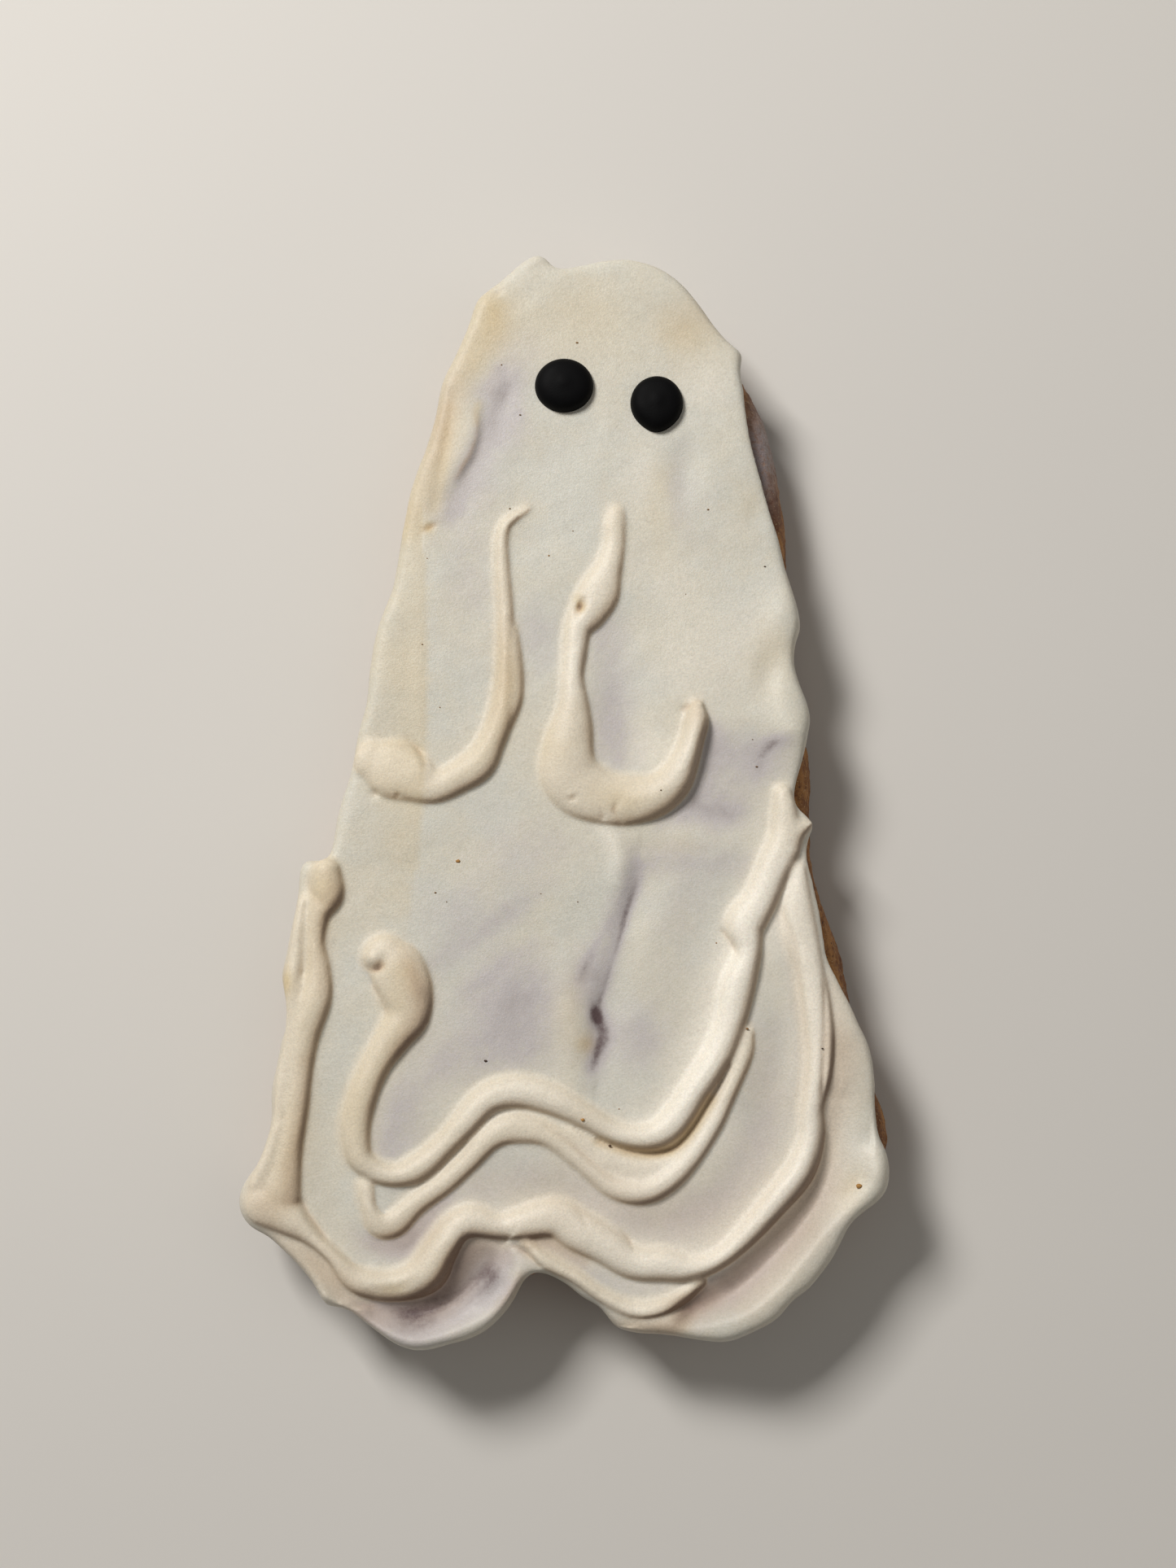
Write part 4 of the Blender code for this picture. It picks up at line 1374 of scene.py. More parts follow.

# Where the coat is so thinly laid that it turns grey-lilac, and painted shade in the hollows and
# beside the lines; above 1 the dark biscuit shows through, and the painted shade is at its darkest
THIN_AND_SHADED_PLACES = (
    # head and right cheek
    # partly thin coat, partly painted shadow to the right of the head's fold
    Stroke(1.6, 1.4, (
        (-5.0, 40.8, 0.6), (-7.0, 37.4, 0.9), (-8.2, 34.2, 0.9), (-9.8, 31.2, 0.9), (-10.8, 28.6, 0.8),
    )),
    Spot(-6.8, 40.2, 1.05, 2.6, 1.6, 35.0),
    Spot(-6.3, 42.0, 0.7, 0.6, 0.6),
    Spot(-4.4, 37.3, 1.0, 0.6, 0.5),
    Spot(-5.6, 35.6, 0.7, 2.4, 2.4),
    Spot(-8.0, 29.8, 0.4, 2.2, 2.4),
    Spot(-11.4, 26.8, 0.5, 2.0, 1.2),
    Spot(-4.4, 44.0, 0.3, 3.0, 2.4),
    Stroke(2.6, 0.6, ((11.0, 33.0, 0.2), (10.9, 30.0, 0.4), (11.2, 26.0, 0.3))),
    Spot(-9.6, 22.0, 0.4, 2.4, 6.0),
    # between and right of the arms
    Spot(-2.6, 14.8, 0.5, 2.2, 3.6),
    Stroke(2.2, 2.2, ((3.6, 15.6, 0.8), (4.8, 11.6, 0.55), (4.8, 6.6, 1.0), (5.4, 3.4, 0.9))),
    Stroke(2.2, 2.2, ((15.0, 3.8, 0.6), (18.6, 2.8, 0.8), (20.6, 2.0, 0.5))),
    Stroke(0.8, 0.8, ((22.0, 4.4, 0.7), (20.6, 4.1, 1.5), (19.6, 2.9, 0.9), (19.1, 1.0, 0.5))),
    Spot(15.2, -2.8, 1.5, 2.8, 1.6),
    Spot(17.2, 0.6, 0.5, 2.0, 2.0),
    # painted shadow cast by the right arm's hooked tip
    Stroke(1.2, 1.2, ((14.6, 5.4, 0.5), (14.2, 1.2, 0.9), (12.4, -2.2, 0.9), (9.6, -3.8, 0.5))),
    # middle
    Spot(-9.8, -12.4, 0.5, 4.4, 3.0, 20.0),
    Spot(-3.6, -6.4, 0.4, 4.4, 3.0),
    Spot(-5.6, -20.4, 0.9, 4.4, 3.6, 20.0),
    Spot(-3.2, -20.4, 0.5, 2.2, 3.0),
    Spot(-5.4, -25.4, 1.1, 5.0, 3.0, 10.0),
    Stroke(1.1, 1.1, ((-12.4, -17.6, 0.4), (-8.6, -15.2, 0.5), (-4.4, -12.0, 0.5), (-1.6, -9.8, 0.3))),
    Stroke(0.7, 0.7, ((-9.6, -20.4, 0.3), (-5.6, -17.4, 0.4), (-2.4, -15.6, 0.3))),
    # centre groove, its left branch and the dark spot at its foot
    Stroke(0.6, 1.5, (
        (7.4, -8.0, 0.8), (7.1, -10.2, 1.2), (6.2, -12.4, 1.5), (5.6, -14.8, 1.0), (4.9, -17.2, 0.6),
        (4.2, -19.6, 0.6), (3.5, -21.4, 0.7),
    )),
    Stroke(0.25, 0.35, (
        (7.2, -9.4, 0.2), (6.2, -12.4, 0.5), (5.6, -14.8, 0.7), (4.8, -17.4, 0.6), (3.6, -21.2, 0.6),
    )),
    Stroke(0.35, 0.5, ((4.6, -13.4, 0.4), (3.2, -15.8, 0.7), (2.3, -17.6, 0.8), (1.6, -19.2, 0.5))),
    Spot(2.6, -18.6, 1.1, 1.8, 2.8, -18.0),
    Spot(3.1, -22.5, 2.0, 0.65, 1.05),
    Stroke(0.9, 0.8, (
        (3.6, -23.0, 1.4), (3.8, -24.4, 1.9), (3.5, -25.8, 1.7), (3.0, -27.2, 1.3), (2.6, -28.8, 0.3),
    )),
    Stroke(0.35, 0.35, ((3.4, -25.2, 0.2), (3.1, -26.6, 0.5), (2.8, -27.8, 0.5))),
    Spot(7.0, -25.0, 0.5, 3.6, 2.8),
    Stroke(3.2, 3.2, ((7.4, -24.6, 0.3), (10.6, -18.0, 0.15), (12.0, -10.0, 0.3))),
    Stroke(1.4, 1.4, ((8.6, -7.6, 0.5), (13.0, -7.6, 0.5), (17.8, -8.0, 0.5))),
    # inside the curl, under the lines and on the feet
    Spot(-16.2, -34.6, 0.9, 2.2, 3.4, -20.0),
    Stroke(2.2, 2.2, ((-11.6, -27.6, 0.5), (-15.4, -30.4, 0.6))),
    Stroke(1.6, 1.2, ((-18.8, -44.0, 0.6), (-15.6, -44.8, 1.5), (-13.4, -43.0, 1.4), (-11.0, -40.6, 0.8))),
    Stroke(2.4, 2.4, (
        (-8.0, -39.4, 0.4), (-2.0, -38.0, 0.4), (8.4, -42.6, 0.7), (14.4, -41.0, 0.8), (18.6, -35.0, 0.6),
        (20.4, -24.0, 0.3),
    )),
    # painted shade: the dark of the left foot's hollow and the hem's shadow across it
    Stroke(1.3, 2.4, (
        (-17.2, -50.4, 1.3), (-14.2, -51.2, 2.1), (-11.4, -50.4, 1.6), (-9.0, -48.6, 1.5),
        (-7.2, -47.2, 2.1), (-6.2, -46.0, 1.2),
    )),
    Spot(-8.2, -49.6, 0.3, 2.0, 1.6),
    Stroke(1.4, 1.4, ((-14.4, -50.0, 0.5), (-12.0, -48.6, 1.3), (-10.0, -45.9, 1.3), (-8.0, -44.8, 0.6))),
    # painted shade in the right foot's hollow, beside the hem
    Stroke(1.9, 1.9, ((13.2, -49.6, 1.3), (17.0, -47.6, 1.4), (21.4, -43.6, 1.0), (24.8, -38.4, 0.6))),
    # painted shade between the hem and the toe line
    Stroke(1.2, 1.2, ((-1.6, -45.2, 0.6), (3.4, -47.6, 0.7), (9.4, -48.6, 0.5))),
    # painted shade along the left foot of the right border
    Stroke(0.2, 1.1, ((21.2, -12.6, 0.3), (22.7, -18.4, 0.5), (23.5, -26.0, 0.5), (22.6, -33.4, 0.3))),
)

# Where the icing is thick and turns buttery; a few marks lay painted shade in butter colour
WARM_PLACES = (
    Stroke(2.0, 2.0, ((-15.6, 26.0, 0.4), (-12.6, 33.0, 0.6), (-11.0, 40.0, 0.5), (-7.4, 48.4, 0.6))),
    Stroke(0.6, 0.6, ((-11.4, 38.0, 0.2), (-12.0, 32.0, 0.3), (-12.8, 27.6, 0.3))),
    Stroke(0.5, 0.4, ((-8.7, 38.4, 0.5), (-8.9, 36.6, 0.4))),
    Stroke(5.5, 0.35, ((-14.6, -8.4, 0.4), (-13.9, 0.3, 0.5), (-13.8, 9.0, 0.55), (-14.0, 22.9, 0.4))),
    Stroke(2.0, 1.4, (
        (-23.4, -8.6, 0.3), (-24.2, -16.0, 0.3), (-25.0, -26.0, 0.3), (-26.2, -34.0, 0.4),
        (-27.4, -39.6, 0.3),
    )),
    Stroke(1.6, 1.6, (
        (-15.6, -18.6, 0.5), (-16.4, -24.6, 0.35), (-19.6, -30.6, 0.45), (-19.6, -35.6, 0.3),
    )),
    Spot(-13.5, 25.7, 0.9, 0.6, 0.6),
    Spot(-26.9, -19.4, 1.0, 0.7, 1.4),
    Spot(12.4, 46.0, 0.5, 3.0, 3.0),
    Spot(0.7, -22.6, 0.35, 1.6, 4.4),
    Spot(2.0, -25.4, 0.6, 0.8, 0.8),
    Spot(18.6, 28.4, 0.2, 1.6, 1.8),
    Stroke(1.2, 1.2, (
        (-5.8, 15.0, 0.2), (-5.5, 10.0, 0.6), (-6.6, 5.0, 0.4), (-9.0, 1.6, 0.3), (-12.6, -0.4, 0.1),
    )),
    Stroke(1.6, 1.6, ((3.6, -1.2, 0.3), (6.0, -1.6, 0.55), (8.4, -1.4, 0.2))),
    Stroke(1.6, 1.6, ((-8.0, 50.0, 0.2), (-6.8, 46.4, 0.4), (-8.6, 43.0, 0.3))),
    Stroke(1.4, 1.4, ((9.6, 31.0, 0.3), (9.4, 27.0, 0.25), (10.0, 22.0, 0.1))),
    Spot(20.6, 13.0, 0.35, 2.4, 3.0),
    Spot(-1.0, 3.4, 0.3, 1.6, 2.4),
    Spot(-23.4, -10.2, 0.35, 1.4, 1.6),
    Spot(2.0, 48.0, 0.35, 9.0, 5.0),
    Stroke(0.5, 0.5, ((-17.4, -48.5, 0.2), (-16.2, -48.6, 0.5), (-15.0, -48.3, 0.3))),
    # painted shade: the deep crease between the curl and the second line, tinted butter
    Stroke(0.6, 0.6, (
        (14.2, -30.7, 0.8), (12.1, -33.9, 1.0), (10.0, -35.6, 1.0), (6.8, -35.7, 0.8), (3.4, -34.7, 0.5),
    )),
    # painted shade on the upper right side of the right arm's nozzle hole
    Stroke(0.5, 0.5, ((1.3, 18.6, 0.5), (1.8, 17.5, 0.9))),
    Spot(27.6, -39.0, 0.5, 1.2, 2.0, -30.0),
)

# Painted shade, brown, in hollows, beside and under the lines and on the feet, and some biscuit
# dust on the icing
SHADE_AND_DUST_PLACES = (
    # head
    Stroke(0.22, 0.22, (
        (-8.9, 38.0, 0.1), (-8.7, 36.4, 0.2), (-8.8, 35.0, 0.25), (-9.4, 33.2, 0.4), (-10.1, 32.0, 0.45),
        (-10.8, 30.8, 0.2),
    )),
    Stroke(0.25, 0.25, ((-12.5, 26.2, 0.15), (-13.2, 25.9, 0.4), (-13.9, 25.5, 0.3))),
    Spot(-6.6, 46.2, 0.1, 2.2, 3.0),
    Stroke(1.4, 1.4, (
        (-15.0, 27.0, 0.1), (-13.4, 31.4, 0.2), (-12.0, 36.8, 0.42), (-10.8, 41.6, 0.2),
        (-8.6, 46.6, 0.0),
    )),
    Spot(12.4, 46.6, 0.12, 3.0, 2.2),
    # middle
    Spot(2.5, -25.2, 0.3, 0.8, 1.0),
    Spot(12.0, -6.0, 0.1, 4.4, 1.0),
    # left border and curl
    Stroke(1.0, 1.0, ((-22.6, -9.0, 0.15), (-22.3, -10.8, 0.3), (-23.4, -13.0, 0.2), (-23.2, -20.0, 0.2))),
    Stroke(0.9, 0.9, (
        (-24.9, -27.0, 0.2), (-25.4, -33.0, 0.25), (-26.2, -37.4, 0.35), (-26.1, -40.2, 0.3),
    )),
    Spot(-28.4, -40.6, 0.3, 2.0, 2.0),
    Stroke(1.2, 1.2, ((-6.2, 21.0, 0.05), (-5.5, 11.0, 0.2), (-6.8, 5.0, 0.1))),
    Spot(13.2, 6.8, 0.2, 1.0, 1.4),
    Stroke(0.35, 0.35, ((-19.0, -18.0, 0.1), (-18.2, -18.2, 0.45), (-17.5, -17.8, 0.3))),
    Stroke(1.1, 1.1, (
        (-15.4, -16.4, 0.15), (-14.1, -19.6, 0.55), (-13.8, -22.2, 0.4), (-16.0, -26.0, 0.2),
    )),
    # lower coat
    Stroke(1.6, 1.6, ((-19.0, -44.4, 0.1), (-15.0, -44.0, 0.25), (-12.0, -41.4, 0.15))),
    Stroke(3.4, 3.4, (
        (-7.0, -39.6, 0.1), (2.0, -40.0, 0.16), (14.0, -42.0, 0.2), (19.4, -36.0, 0.12),
        (21.0, -27.0, 0.05),
    )),
    # left foot
    Stroke(1.4, 1.4, (
        (-28.0, -43.4, 0.2), (-24.0, -46.0, 0.42), (-20.2, -49.6, 0.42), (-18.0, -51.6, 0.2),
    )),
    Stroke(1.0, 2.2, (
        (-18.0, -50.2, 0.1), (-14.4, -50.2, 0.4), (-12.0, -48.6, 0.6), (-10.2, -45.8, 0.6),
        (-8.4, -44.4, 0.5), (-6.0, -44.4, 0.3),
    )),
    Stroke(0.5, 0.7, ((-7.2, -51.4, 0.0), (-5.3, -49.4, 0.3), (-4.0, -47.4, 0.3))),
    # right foot
    Stroke(0.8, 0.8, ((-3.6, -44.0, 0.4), (-1.4, -44.2, 0.5), (2.0, -46.0, 0.3))),
    Stroke(1.1, 1.1, (
        (4.6, -51.8, 0.2), (8.4, -52.4, 0.5), (10.4, -52.2, 0.6), (11.8, -50.7, 0.65), (14.0, -49.6, 0.3),
    )),
    Stroke(0.8, 2.0, (
        (9.0, -50.4, 0.1), (14.6, -48.6, 0.4), (19.0, -44.6, 0.35), (22.6, -40.6, 0.35),
        (25.2, -35.6, 0.35), (25.9, -28.0, 0.35), (25.6, -20.0, 0.2),
    )),
    Stroke(2.2, 2.2, ((18.0, -49.6, 0.15), (24.4, -42.0, 0.25), (27.4, -34.0, 0.0), (27.4, -25.8, 0.25))),
)

# Where the icing is whitest
WHITE_PLACES = (
    Stroke(2.6, 2.6, (
        (21.6, -2.0, 0.3), (20.6, -7.0, 0.4), (17.6, -15.0, 1.0), (12.0, -30.0, 0.9), (6.0, -34.0, 0.4),
    )),
    Stroke(2.6, 2.6, ((14.6, -33.6, 0.6), (8.0, -38.6, 0.6), (2.6, -36.6, 0.3))),
    Stroke(2.6, 2.6, (
        (22.6, -9.0, 0.6), (25.0, -24.0, 0.8), (22.6, -38.0, 1.0), (10.0, -46.2, 0.8), (0.0, -42.0, 0.5),
        (-9.0, -42.2, 0.4),
    )),
    Stroke(1.6, 1.6, ((-9.4, -32.6, 0.2), (-4.4, -30.0, 0.5), (0.0, -31.0, 0.3))),
    Stroke(1.0, 1.0, ((4.2, -4.2, 0.4), (4.8, -5.8, 0.5), (5.4, -7.4, 0.2))),
    Stroke(1.6, 1.6, ((29.4, -36.2, 0.4), (26.0, -43.0, 0.3), (19.0, -49.8, 0.2))),
    Spot(8.0, 31.0, 0.4, 2.4, 4.0),
    Spot(14.4, 40.2, 0.35, 3.0, 3.0),
    Spot(18.0, 14.4, 0.5, 3.4, 4.6),
    Spot(12.0, 12.0, 0.4, 3.0, 4.0),
    Spot(10.6, 20.0, 0.3, 3.0, 3.0),
    Spot(-25.4, -29.0, 0.4, 1.2, 3.0),
    Spot(7.0, -50.5, 0.4, 3.0, 0.9),
    Spot(-15.6, 1.2, 0.4, 1.6, 1.6),
    Spot(8.6, 3.6, 0.4, 1.6, 2.2),
    Spot(11.6, 2.6, 0.4, 1.6, 3.0),
    Stroke(1.2, 1.2, (
        (4.6, 23.6, 0.2), (3.4, 19.6, 0.4), (2.0, 16.4, 0.5), (1.0, 12.0, 0.7), (0.9, 9.4, 0.4),
    )),
)


@dataclass(frozen=True)
class Icing:
    """The coat with every piped line fused on.

    Faces is how many triangles the piece may have. The foot is where a line meets the coat: it
    softens most on the side of the slump. Slopes are read from a normal: how upright it is, or how
    far it leans away from the slump, that is away from the key light. The lee, contact and cut
    shades are painted shade: brown laid on the lines' flanks away from the light, in hollows and in
    the cut creases. Fade and contact shade are a least value and what adds to it.
    """

    coat: Coat
    lines: tuple[PipedLine, ...]
    finish: IcingFinish
    voxel: float = 0.21
    faces: int = 190_000
    underside: float = 9.0
    underside_slope: float = -0.9
    skin_weight: float = 0.5
    skin_passes: int = 3
    foot_reach: float = 0.6
    foot_span: Span = (0.0, 0.7)
    foot_least: float = 0.15
    foot_weight: float = 0.7
    foot_passes: int = 9
    brush_wave: Ripple = Ripple(0.14, 0.16, 2.0)
    brush_streak: Ripple = Ripple(0.02, 0.7, 7.0)
    brush_squeeze: float = 0.2
    pores: Ripple = Ripple(0.03, 0.55, 11.0)
    upright: float = 1.6
    thinnest: float = 0.15
    cut_weight: float = 0.4
    hollow_passes: int = 4
    piped_core: float = 0.85
    piped_fade: tuple[float, float] = (0.25, 0.75)
    piped_span: Span = (-0.2, 0.7)
    edge_slope: Span = (0.85, 0.3)
    edge_cover: float = 0.6
    edge_warmth: float = 0.12
    lee_slope: Span = (0.08, 0.8)
    lee_shade: float = 0.8
    contact_span: Span = (0.1, 0.9)
    contact_shade: tuple[float, float] = (0.4, 0.5)
    cut_shade: float = 0.5

    def build(self, plan: Plan) -> np.ndarray:
        """Put the finished icing in the part's frame.

        Args:
            plan: where the plan lies.

        Returns:
            The icing's points on the plan.
        """
        icing = self.fused(plan)
        surface = Surface(icing.data)
        near = [line.nearest(surface.plan) for line in self.lines]
        self.soften(surface, near)
        self.carve(surface)
        self.shade(surface, near)
        surface.store()
        self.trim(icing.data)
        count = sum(len(face.vertices) - 2 for face in icing.data.polygons)
        apply_modifier(icing, "DECIMATE", ratio=min(1.0, self.faces / count))
        icing.data.materials.append(self.finish.material())
        plan.hand_over(icing, Slot.ICING, ["icing"])
        return surface.points

    def fused(self, plan: Plan) -> bpy.types.Object:
        """Join coat and lines into one skin of even small faces.

        Args:
            plan: where the plan lies.

        Returns:
            The skin, on the plan.
        """
        coat = self.coat.solid(plan)
        work = bmesh.new()
        work.from_mesh(coat.data)
        bpy.data.objects.remove(coat)
        for line in self.lines:
            points, faces = line.solid(self.coat.top)
            verts = [work.verts.new(p) for p in points]
            for face in faces:
                work.faces.new([verts[k] for k in face])
        bmesh.ops.recalc_face_normals(work, faces=work.faces[:])
        icing = add_worked("icing_coat", work)
        apply_modifier(icing, "REMESH", mode="VOXEL", voxel_size=self.voxel)
        return icing

    def soften(self, surface: Surface, near: Sequence[Nearest]) -> None:
        """Even out the skin, and let the lines run into the coat.

        Args:
            surface: the skin.
            near: what each line says about its points.
        """
        foot = np.zeros(len(surface.points))
        for found in near:
            run_out = np.maximum(smoothstep(*self.foot_span, found.slumped), self.foot_least)
            foot = np.maximum(foot, np.exp(-((found.beyond / self.foot_reach) ** 2)) * run_out)
        surface.smooth(self.skin_weight, self.skin_passes)
        surface.smooth(self.foot_weight * foot, self.foot_passes)

    def carve(self, surface: Surface) -> None:
        """Lay the coat in folds, and cut its creases and nozzle marks.

        Args:
            surface: the skin.
        """
        plan, height = surface.plan, surface.points[:, 2]
        share = np.clip((height - self.underside) / (self.coat.top - self.underside), 0.0, 1.0)
        level = np.column_stack([plan, np.zeros(len(plan))])
        streaks = np.column_stack([self.brush_squeeze * plan @ BRUSHED, plan @ SLUMP, level[:, 2]])
        folds = total(FOLDS, plan) + self.brush_wave.at(level)
        folds += self.brush_streak.at(streaks)
        seat = np.max([eye.seat(plan) for eye in EYES], axis=0)
        up = np.clip(surface.normals()[:, 2] * self.upright, 0.0, 1.0)
        room = np.minimum(self.underside + self.thinnest - height, 0.0)
        height += np.maximum(share * folds * (1.0 - seat), room)
        height += up * (total(CREASES, plan) + self.pores.at(surface.points))
        surface.smooth(self.cut_weight, 1)

    def shade(self, surface: Surface, near: Sequence[Nearest]) -> None:
        """Store where the icing is piped, white, thinly laid, buttery, and where painted shade lies.

        Args:
            surface: the skin.
            near: what each line says about its points.
        """
        plan, normals = surface.plan, surface.normals()
        hollow = np.sum((surface.around(surface.points) - surface.points) * normals, axis=1)
        hollow = surface.blurred(hollow / self.voxel**2, self.hollow_passes)
        piped = np.zeros(len(plan))
        least, more = self.piped_fade
        for found in near:
            fade = least + more * smoothstep(*self.piped_span, found.slumped)
            piped = np.maximum(piped, np.clip(self.piped_core - found.beyond / fade, 0.0, 1.0))
        edge = smoothstep(*self.edge_slope, normals[:, 2])
        # painted shade: the lines' flanks that face away from the key light turn brown
        lee = smoothstep(*self.lee_slope, -normals[:, :2] @ SLUMP) * piped
        surface.paint("piped", piped)
        surface.paint("white", total(WHITE_PLACES, plan))
        # the thin marks also hold painted shade, lilac and grey-violet, in hollows and beside the lines
        surface.paint("thin", total(THIN_AND_SHADED_PLACES, plan) * (1.0 - piped) * (1.0 - self.edge_cover * edge))
        surface.paint("warm", total(WARM_PLACES, plan) + self.edge_warmth * edge)
        # painted shade in hollows where the lines meet the coat and in the cut creases, with the shade and
        # dust marks
        cut = np.maximum(-total(CREASES, plan), 0.0)
        least, more = self.contact_shade
        contact = smoothstep(*self.contact_span, hollow) * (least + more * piped)
        shade_and_stain = contact + self.lee_shade * lee + self.cut_shade * cut + total(SHADE_AND_DUST_PLACES, plan)
        surface.paint("crease", shade_and_stain)

    def trim(self, mesh: bpy.types.Mesh) -> None:
        """Replace the flat underside, which lies on the biscuit, by one large face.

        Args:
            mesh: the icing's mesh.
        """
        work = bmesh.new()
        work.from_mesh(mesh)
        flat = [f for f in work.faces if f.normal.z < self.underside_slope]
        hidden = [f for f in flat if abs(f.calc_center_median().z - self.underside) < 0.5 * self.voxel]
        bmesh.ops.delete(work, geom=hidden, context="FACES")
        rims = [e for e in work.edges if e.is_boundary]
        filled = bmesh.ops.holes_fill(work, edges=rims, sides=0)
        bmesh.ops.triangulate(work, faces=filled["faces"])
        work.to_mesh(mesh)
        work.free()


# ---------------------------------------------------------------------------------------------
# Eyes


@dataclass(frozen=True)
class Eye:
    """A dot of black icing with the nozzle's small tip on it.

    Bulge and shoulder are the powers that make it fuller than half an ellipsoid. The nib's height
    and peak are shares of the dot's own, and its reach one of the half width.
    """

    node: str
    x: float
    y: float
    width: float
    length: float
    height: float
    point: float
    seat_level: float = 10.55
    seat_margin: float = 0.8
    seat_blend: float = 2.2
    sides: int = 72
    rings: int = 26
    bulge: float = 0.62
    shoulder: float = 0.8
    crown: float = 0.95
    nib: float = 0.08
    nib_reach: float = 0.25
    peak: float = 1.05
    point_power: int = 6
    skin: Ripple = Ripple(0.05, 0.5, 3.0)
    skin_from: float = 0.2

    def seat(self, points: np.ndarray) -> np.ndarray:
        """Find the level seat under the eye.

        Args:
            points: rows of x and y.

        Returns:
            A share for each point, 1 on the seat and falling to 0 a little way out of it.
        """
        radius = 0.5 * max(self.width, self.length) + self.seat_margin
        beyond = np.hypot(points[:, 0] - self.x, points[:, 1] - self.y) - radius
        return np.clip(1.0 - beyond / self.seat_blend, 0.0, 1.0)

    def build(self, plan: Plan, material: bpy.types.Material) -> bpy.types.Object:
        """Put the finished eye in the part's frame.

        Args:
            plan: where the plan lies.
            material: the eye's material.

        Returns:
            The eye.
        """
        angles = np.linspace(0.0, 2.0 * math.pi, self.sides, endpoint=False)
        drawn = self.point * np.maximum(0.0, -np.sin(angles)) ** self.point_power
        rings = []
        for k in range(self.rings):
            turn = 0.5 * math.pi * k / self.rings
            spread, lift = math.cos(turn) ** self.bulge, math.sin(turn) ** self.shoulder
            tip = self.nib * math.exp(-((spread / self.nib_reach) ** 2))
            x = self.x + 0.5 * self.width * spread * np.cos(angles)
            y = self.y + (0.5 * self.length + drawn) * spread * np.sin(angles)
            z = np.full(self.sides, self.seat_level + self.height * (self.crown * lift + tip))
            rings.append(np.column_stack([x, y, z]))
        foot = np.array([[self.x, self.y, self.seat_level]])
        peak = np.array([[self.x, self.y, self.seat_level + self.height * self.peak]])
        eye = add_mesh(self.node + "_dot", *shell_of(rings, (foot, peak)))
        surface = Surface(eye.data)
        top = surface.points[:, 2] > self.seat_level + self.skin_from
        surface.points[:, 2] += np.where(top, self.skin.at(surface.points), 0.0)
        surface.store()
        eye.data.materials.append(material)
        return plan.hand_over(eye, Slot.EYE, [self.node])


EYES = (
    Eye("eye_left", 0.0, 40.3, 5.9, 5.5, 1.9, 0.0),
    Eye("eye_right", 9.3, 38.5, 5.3, 5.5, 1.8, 0.25),
)


# ---------------------------------------------------------------------------------------------
# Crumbs


# Crumbs on the icing: their places, half widths in millimetres, and how pale they are
SPECKS = (
    (-10.3, -7.6, 0.24, 0.7), (-7.5, -27.0, 0.17, 0.0), (-12.5, -10.7, 0.12, 0.3), (-1.5, 22.9, 0.11, 0.6),
    (20.0, 21.8, 0.11, 0.1), (19.0, 1.7, 0.13, 0.2), (9.5, -0.8, 0.09, 0.1), (25.0, -25.8, 0.1, 0.0),
    (1.9, -32.6, 0.2, 0.9), (28.4, -38.9, 0.3, 0.8), (17.8, -23.9, 0.14, 0.5), (4.5, -35.1, 0.15, 0.1),
    (-5.4, 27.7, 0.1, 0.3), (1.3, 44.8, 0.14, 0.4), (-4.4, 37.3, 0.12, 0.2), (-6.3, 42.5, 0.09, 0.3),
    (-14.0, 13.9, 0.1, 0.4), (-12.2, 7.6, 0.08, 0.4), (14.4, 27.6, 0.12, 0.3), (0.9, 25.4, 0.08, 0.4),
    (-13.6, 22.6, 0.07, 0.5), (-2.2, -10.8, 0.07, 0.3), (1.4, -11.6, 0.07, 0.3), (14.9, -15.6, 0.09, 0.6),
    (5.4, -31.6, 0.08, 0.5), (-11.4, -11.6, 0.07, 0.3), (18.6, 4.4, 0.07, 0.3), (12.1, 19.0, 0.06, 0.4),
)


@dataclass(frozen=True)
class Specks:
    """Tiny biscuit crumbs that have settled on the icing.

    Each is a ball, pressed flatter along and up, with bulges that differ from crumb to crumb.
    """

    finish: CrumbFinish
    roundness: int = 2
    pressed: tuple[float, float, float] = (1.0, 0.7, 0.55)
    bulge: float = 0.35
    bulge_scale: float = 1.7
    ground_reach: float = 0.35

    def build(self, plan: Plan, icing: np.ndarray) -> bpy.types.Object:
        """Put the crumbs in the part's frame.

        Args:
            plan: where the plan lies.
            icing: the icing's points on the plan.

        Returns:
            All the crumbs as one piece.
        """
        work = bmesh.new()
        tones = []
        for number, (x, y, size, tone) in enumerate(SPECKS):
            near = np.hypot(icing[:, 0] - x, icing[:, 1] - y) < self.ground_reach
            middle = Vector((x, y, icing[near, 2].max()))
            made = bmesh.ops.create_icosphere(work, subdivisions=self.roundness, radius=1.0)
            for vert in made["verts"]:
                bumps = noise.noise(vert.co * self.bulge_scale + Vector((number, 0.0, 0.0)))
                wide = Vector(self.pressed) * (size * (1.0 + self.bulge * bumps))
                vert.co = middle + vert.co * wide
                tones.append(tone)
        specks = add_worked("crumb_specks", work)
        Surface(specks.data).paint("tone", np.array(tones))
        specks.data.materials.append(self.finish.material())
        return plan.hand_over(specks, Slot.BISCUIT, [])


# ---------------------------------------------------------------------------------------------
# Biscuit


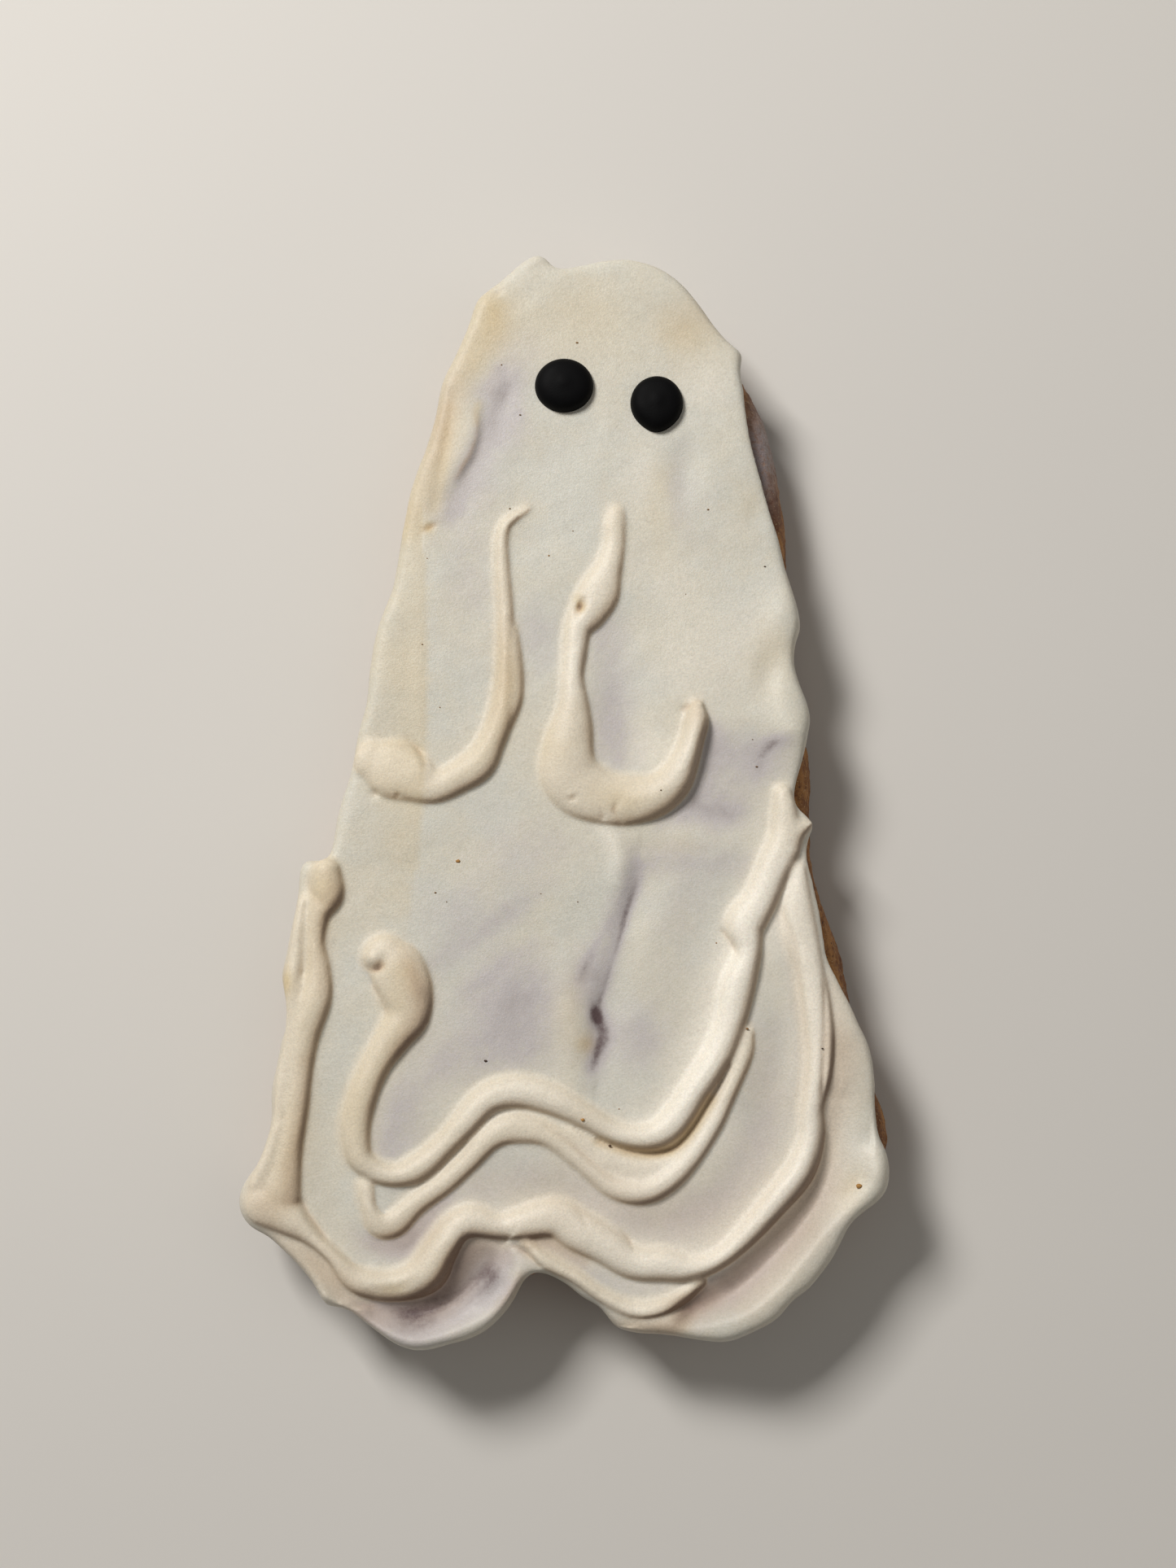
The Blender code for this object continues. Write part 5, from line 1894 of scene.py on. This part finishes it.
@dataclass(frozen=True)
class Biscuit:
    """The baked biscuit under the icing.

    Its crumb is rough at the sides and fainter on its flat faces, and dies out above the surface
    that it stands on.
    """

    finish: BiscuitFinish
    voxel: float = 0.4
    skin_weight: float = 0.6
    skin_passes: int = 6
    crumb: float = 0.16
    coarse: Ripple = Ripple(1.0, 0.9, 4.0)
    fine: Ripple = Ripple(0.6, 2.1, 8.0)
    flat_share: float = 0.35
    foot: float = 0.6
    glaze: Spot = Spot(19.6, 33.0, 1.1, 2.4, 7.0, -12.0)

    def build(self, plan: Plan) -> bpy.types.Object:
        """Put the finished biscuit in the part's frame.

        Args:
            plan: where the plan lies.

        Returns:
            The biscuit.
        """
        biscuit = plan.solid("biscuit")
        biscuit.name = "baked_body"
        apply_modifier(biscuit, "REMESH", mode="VOXEL", voxel_size=self.voxel)
        surface = Surface(biscuit.data)
        surface.smooth(self.skin_weight, self.skin_passes)
        normals = surface.normals()
        rough = self.coarse.at(surface.points) + self.fine.at(surface.points)
        side = self.flat_share + (1.0 - self.flat_share) * (1.0 - np.abs(normals[:, 2]))
        lift = surface.points[:, 2].clip(0.0, self.foot) / self.foot
        surface.points += normals * (self.crumb * rough * side * lift)[:, None]
        surface.paint("glaze", self.glaze.at(surface.plan))
        surface.store()
        biscuit.data.materials.clear()
        biscuit.data.materials.append(self.finish.material())
        return plan.hand_over(biscuit, Slot.BISCUIT, ["biscuit"])


# ---------------------------------------------------------------------------------------------
# Studio


@dataclass(frozen=True)
class Softbox:
    """A square area light aimed at the middle of the part."""

    name: str
    direction: tuple[float, float, float]
    distance: float
    size: float
    power: float
    colour: tuple[float, float, float]

    def build(self) -> None:
        """Put the light in the scene."""
        light = bpy.data.lights.new(self.name, "AREA")
        light.size, light.energy, light.color = self.size, self.power, self.colour
        lamp = add_object(self.name, light)
        toward = Vector(self.direction).normalized()
        lamp.location = toward * self.distance
        lamp.rotation_euler = toward.to_track_quat("Z", "Y").to_euler()


@dataclass(frozen=True)
class Studio:
    """Floor, lights and camera. The camera's aim and distance are in millimetres on the plan."""

    floor: FloorFinish
    lights: tuple[Softbox, ...] = (
        Softbox("key_light", (-0.56, 0.64, 0.95), 0.55, 0.15, 2.82, (1.0, 0.975, 0.94)),
        Softbox("fill_light", (0.9, -0.2, 1.1), 0.7, 0.5, 0.45, (1.0, 0.95, 0.88)),
    )
    sky: float = 0.14
    sky_colour: tuple[float, float, float, float] = (1.0, 0.965, 0.92, 1.0)
    floor_size: float = 3.0
    lens: float = 50.0
    sensor: float = 36.0
    clip_start: float = 0.001
    tilt: float = math.radians(7.0)
    distance: float = 214.0
    aim: tuple[float, float, float] = (2.4, 0.0, 10.7)

    def build(self, plan: Plan) -> None:
        """Put floor, lights, sky and camera in the scene.

        Args:
            plan: where the plan lies.
        """
        half = self.floor_size / 2.0
        corners = np.array([(-half, -half, 0.0), (half, -half, 0.0), (half, half, 0.0), (-half, half, 0.0)])
        ground = add_mesh("floor", corners, [(0, 1, 2, 3)])
        ground.data.materials.append(self.floor.material())
        for light in self.lights:
            light.build()
        world = bpy.data.worlds.new("soft_sky")
        world.use_nodes = True
        sky = world.node_tree.nodes["Background"].inputs
        sky["Color"].default_value = self.sky_colour
        sky["Strength"].default_value = self.sky
        bpy.context.scene.world = world
        bpy.context.scene.view_settings.view_transform = "Standard"
        self.camera(plan)

    def camera(self, plan: Plan) -> None:
        """Look down on the biscuit, tilted a little towards its head.

        Args:
            plan: where the plan lies.
        """
        data = bpy.data.cameras.new("camera")
        data.lens, data.sensor_fit = self.lens, "VERTICAL"
        data.sensor_width = data.sensor_height = self.sensor
        data.clip_start = self.clip_start
        camera = add_object("camera", data)
        x, y, z = self.aim
        y -= self.distance * math.sin(self.tilt)
        z += self.distance * math.cos(self.tilt)
        camera.location = Vector((x + plan.x, y + plan.y, z)) * MM
        camera.rotation_euler = Euler((self.tilt, 0.0, 0.0))
        bpy.context.scene.camera = camera


def main() -> None:
    """Build the studio and every piece of the dog biscuit."""
    logging.basicConfig(level=logging.INFO, format="%(message)s")
    plan = Plan.under(EYES[0].node, EYES[0].x, EYES[0].y)
    Studio(FloorFinish()).build(plan)
    Biscuit(BiscuitFinish()).build(plan)
    icing = Icing(Coat(), PIPED_LINES, IcingFinish()).build(plan)
    Specks(CrumbFinish()).build(plan, icing)
    black = EyeFinish().material()
    for eye in EYES:
        eye.build(plan, black)


if __name__ == "__main__":
    main()
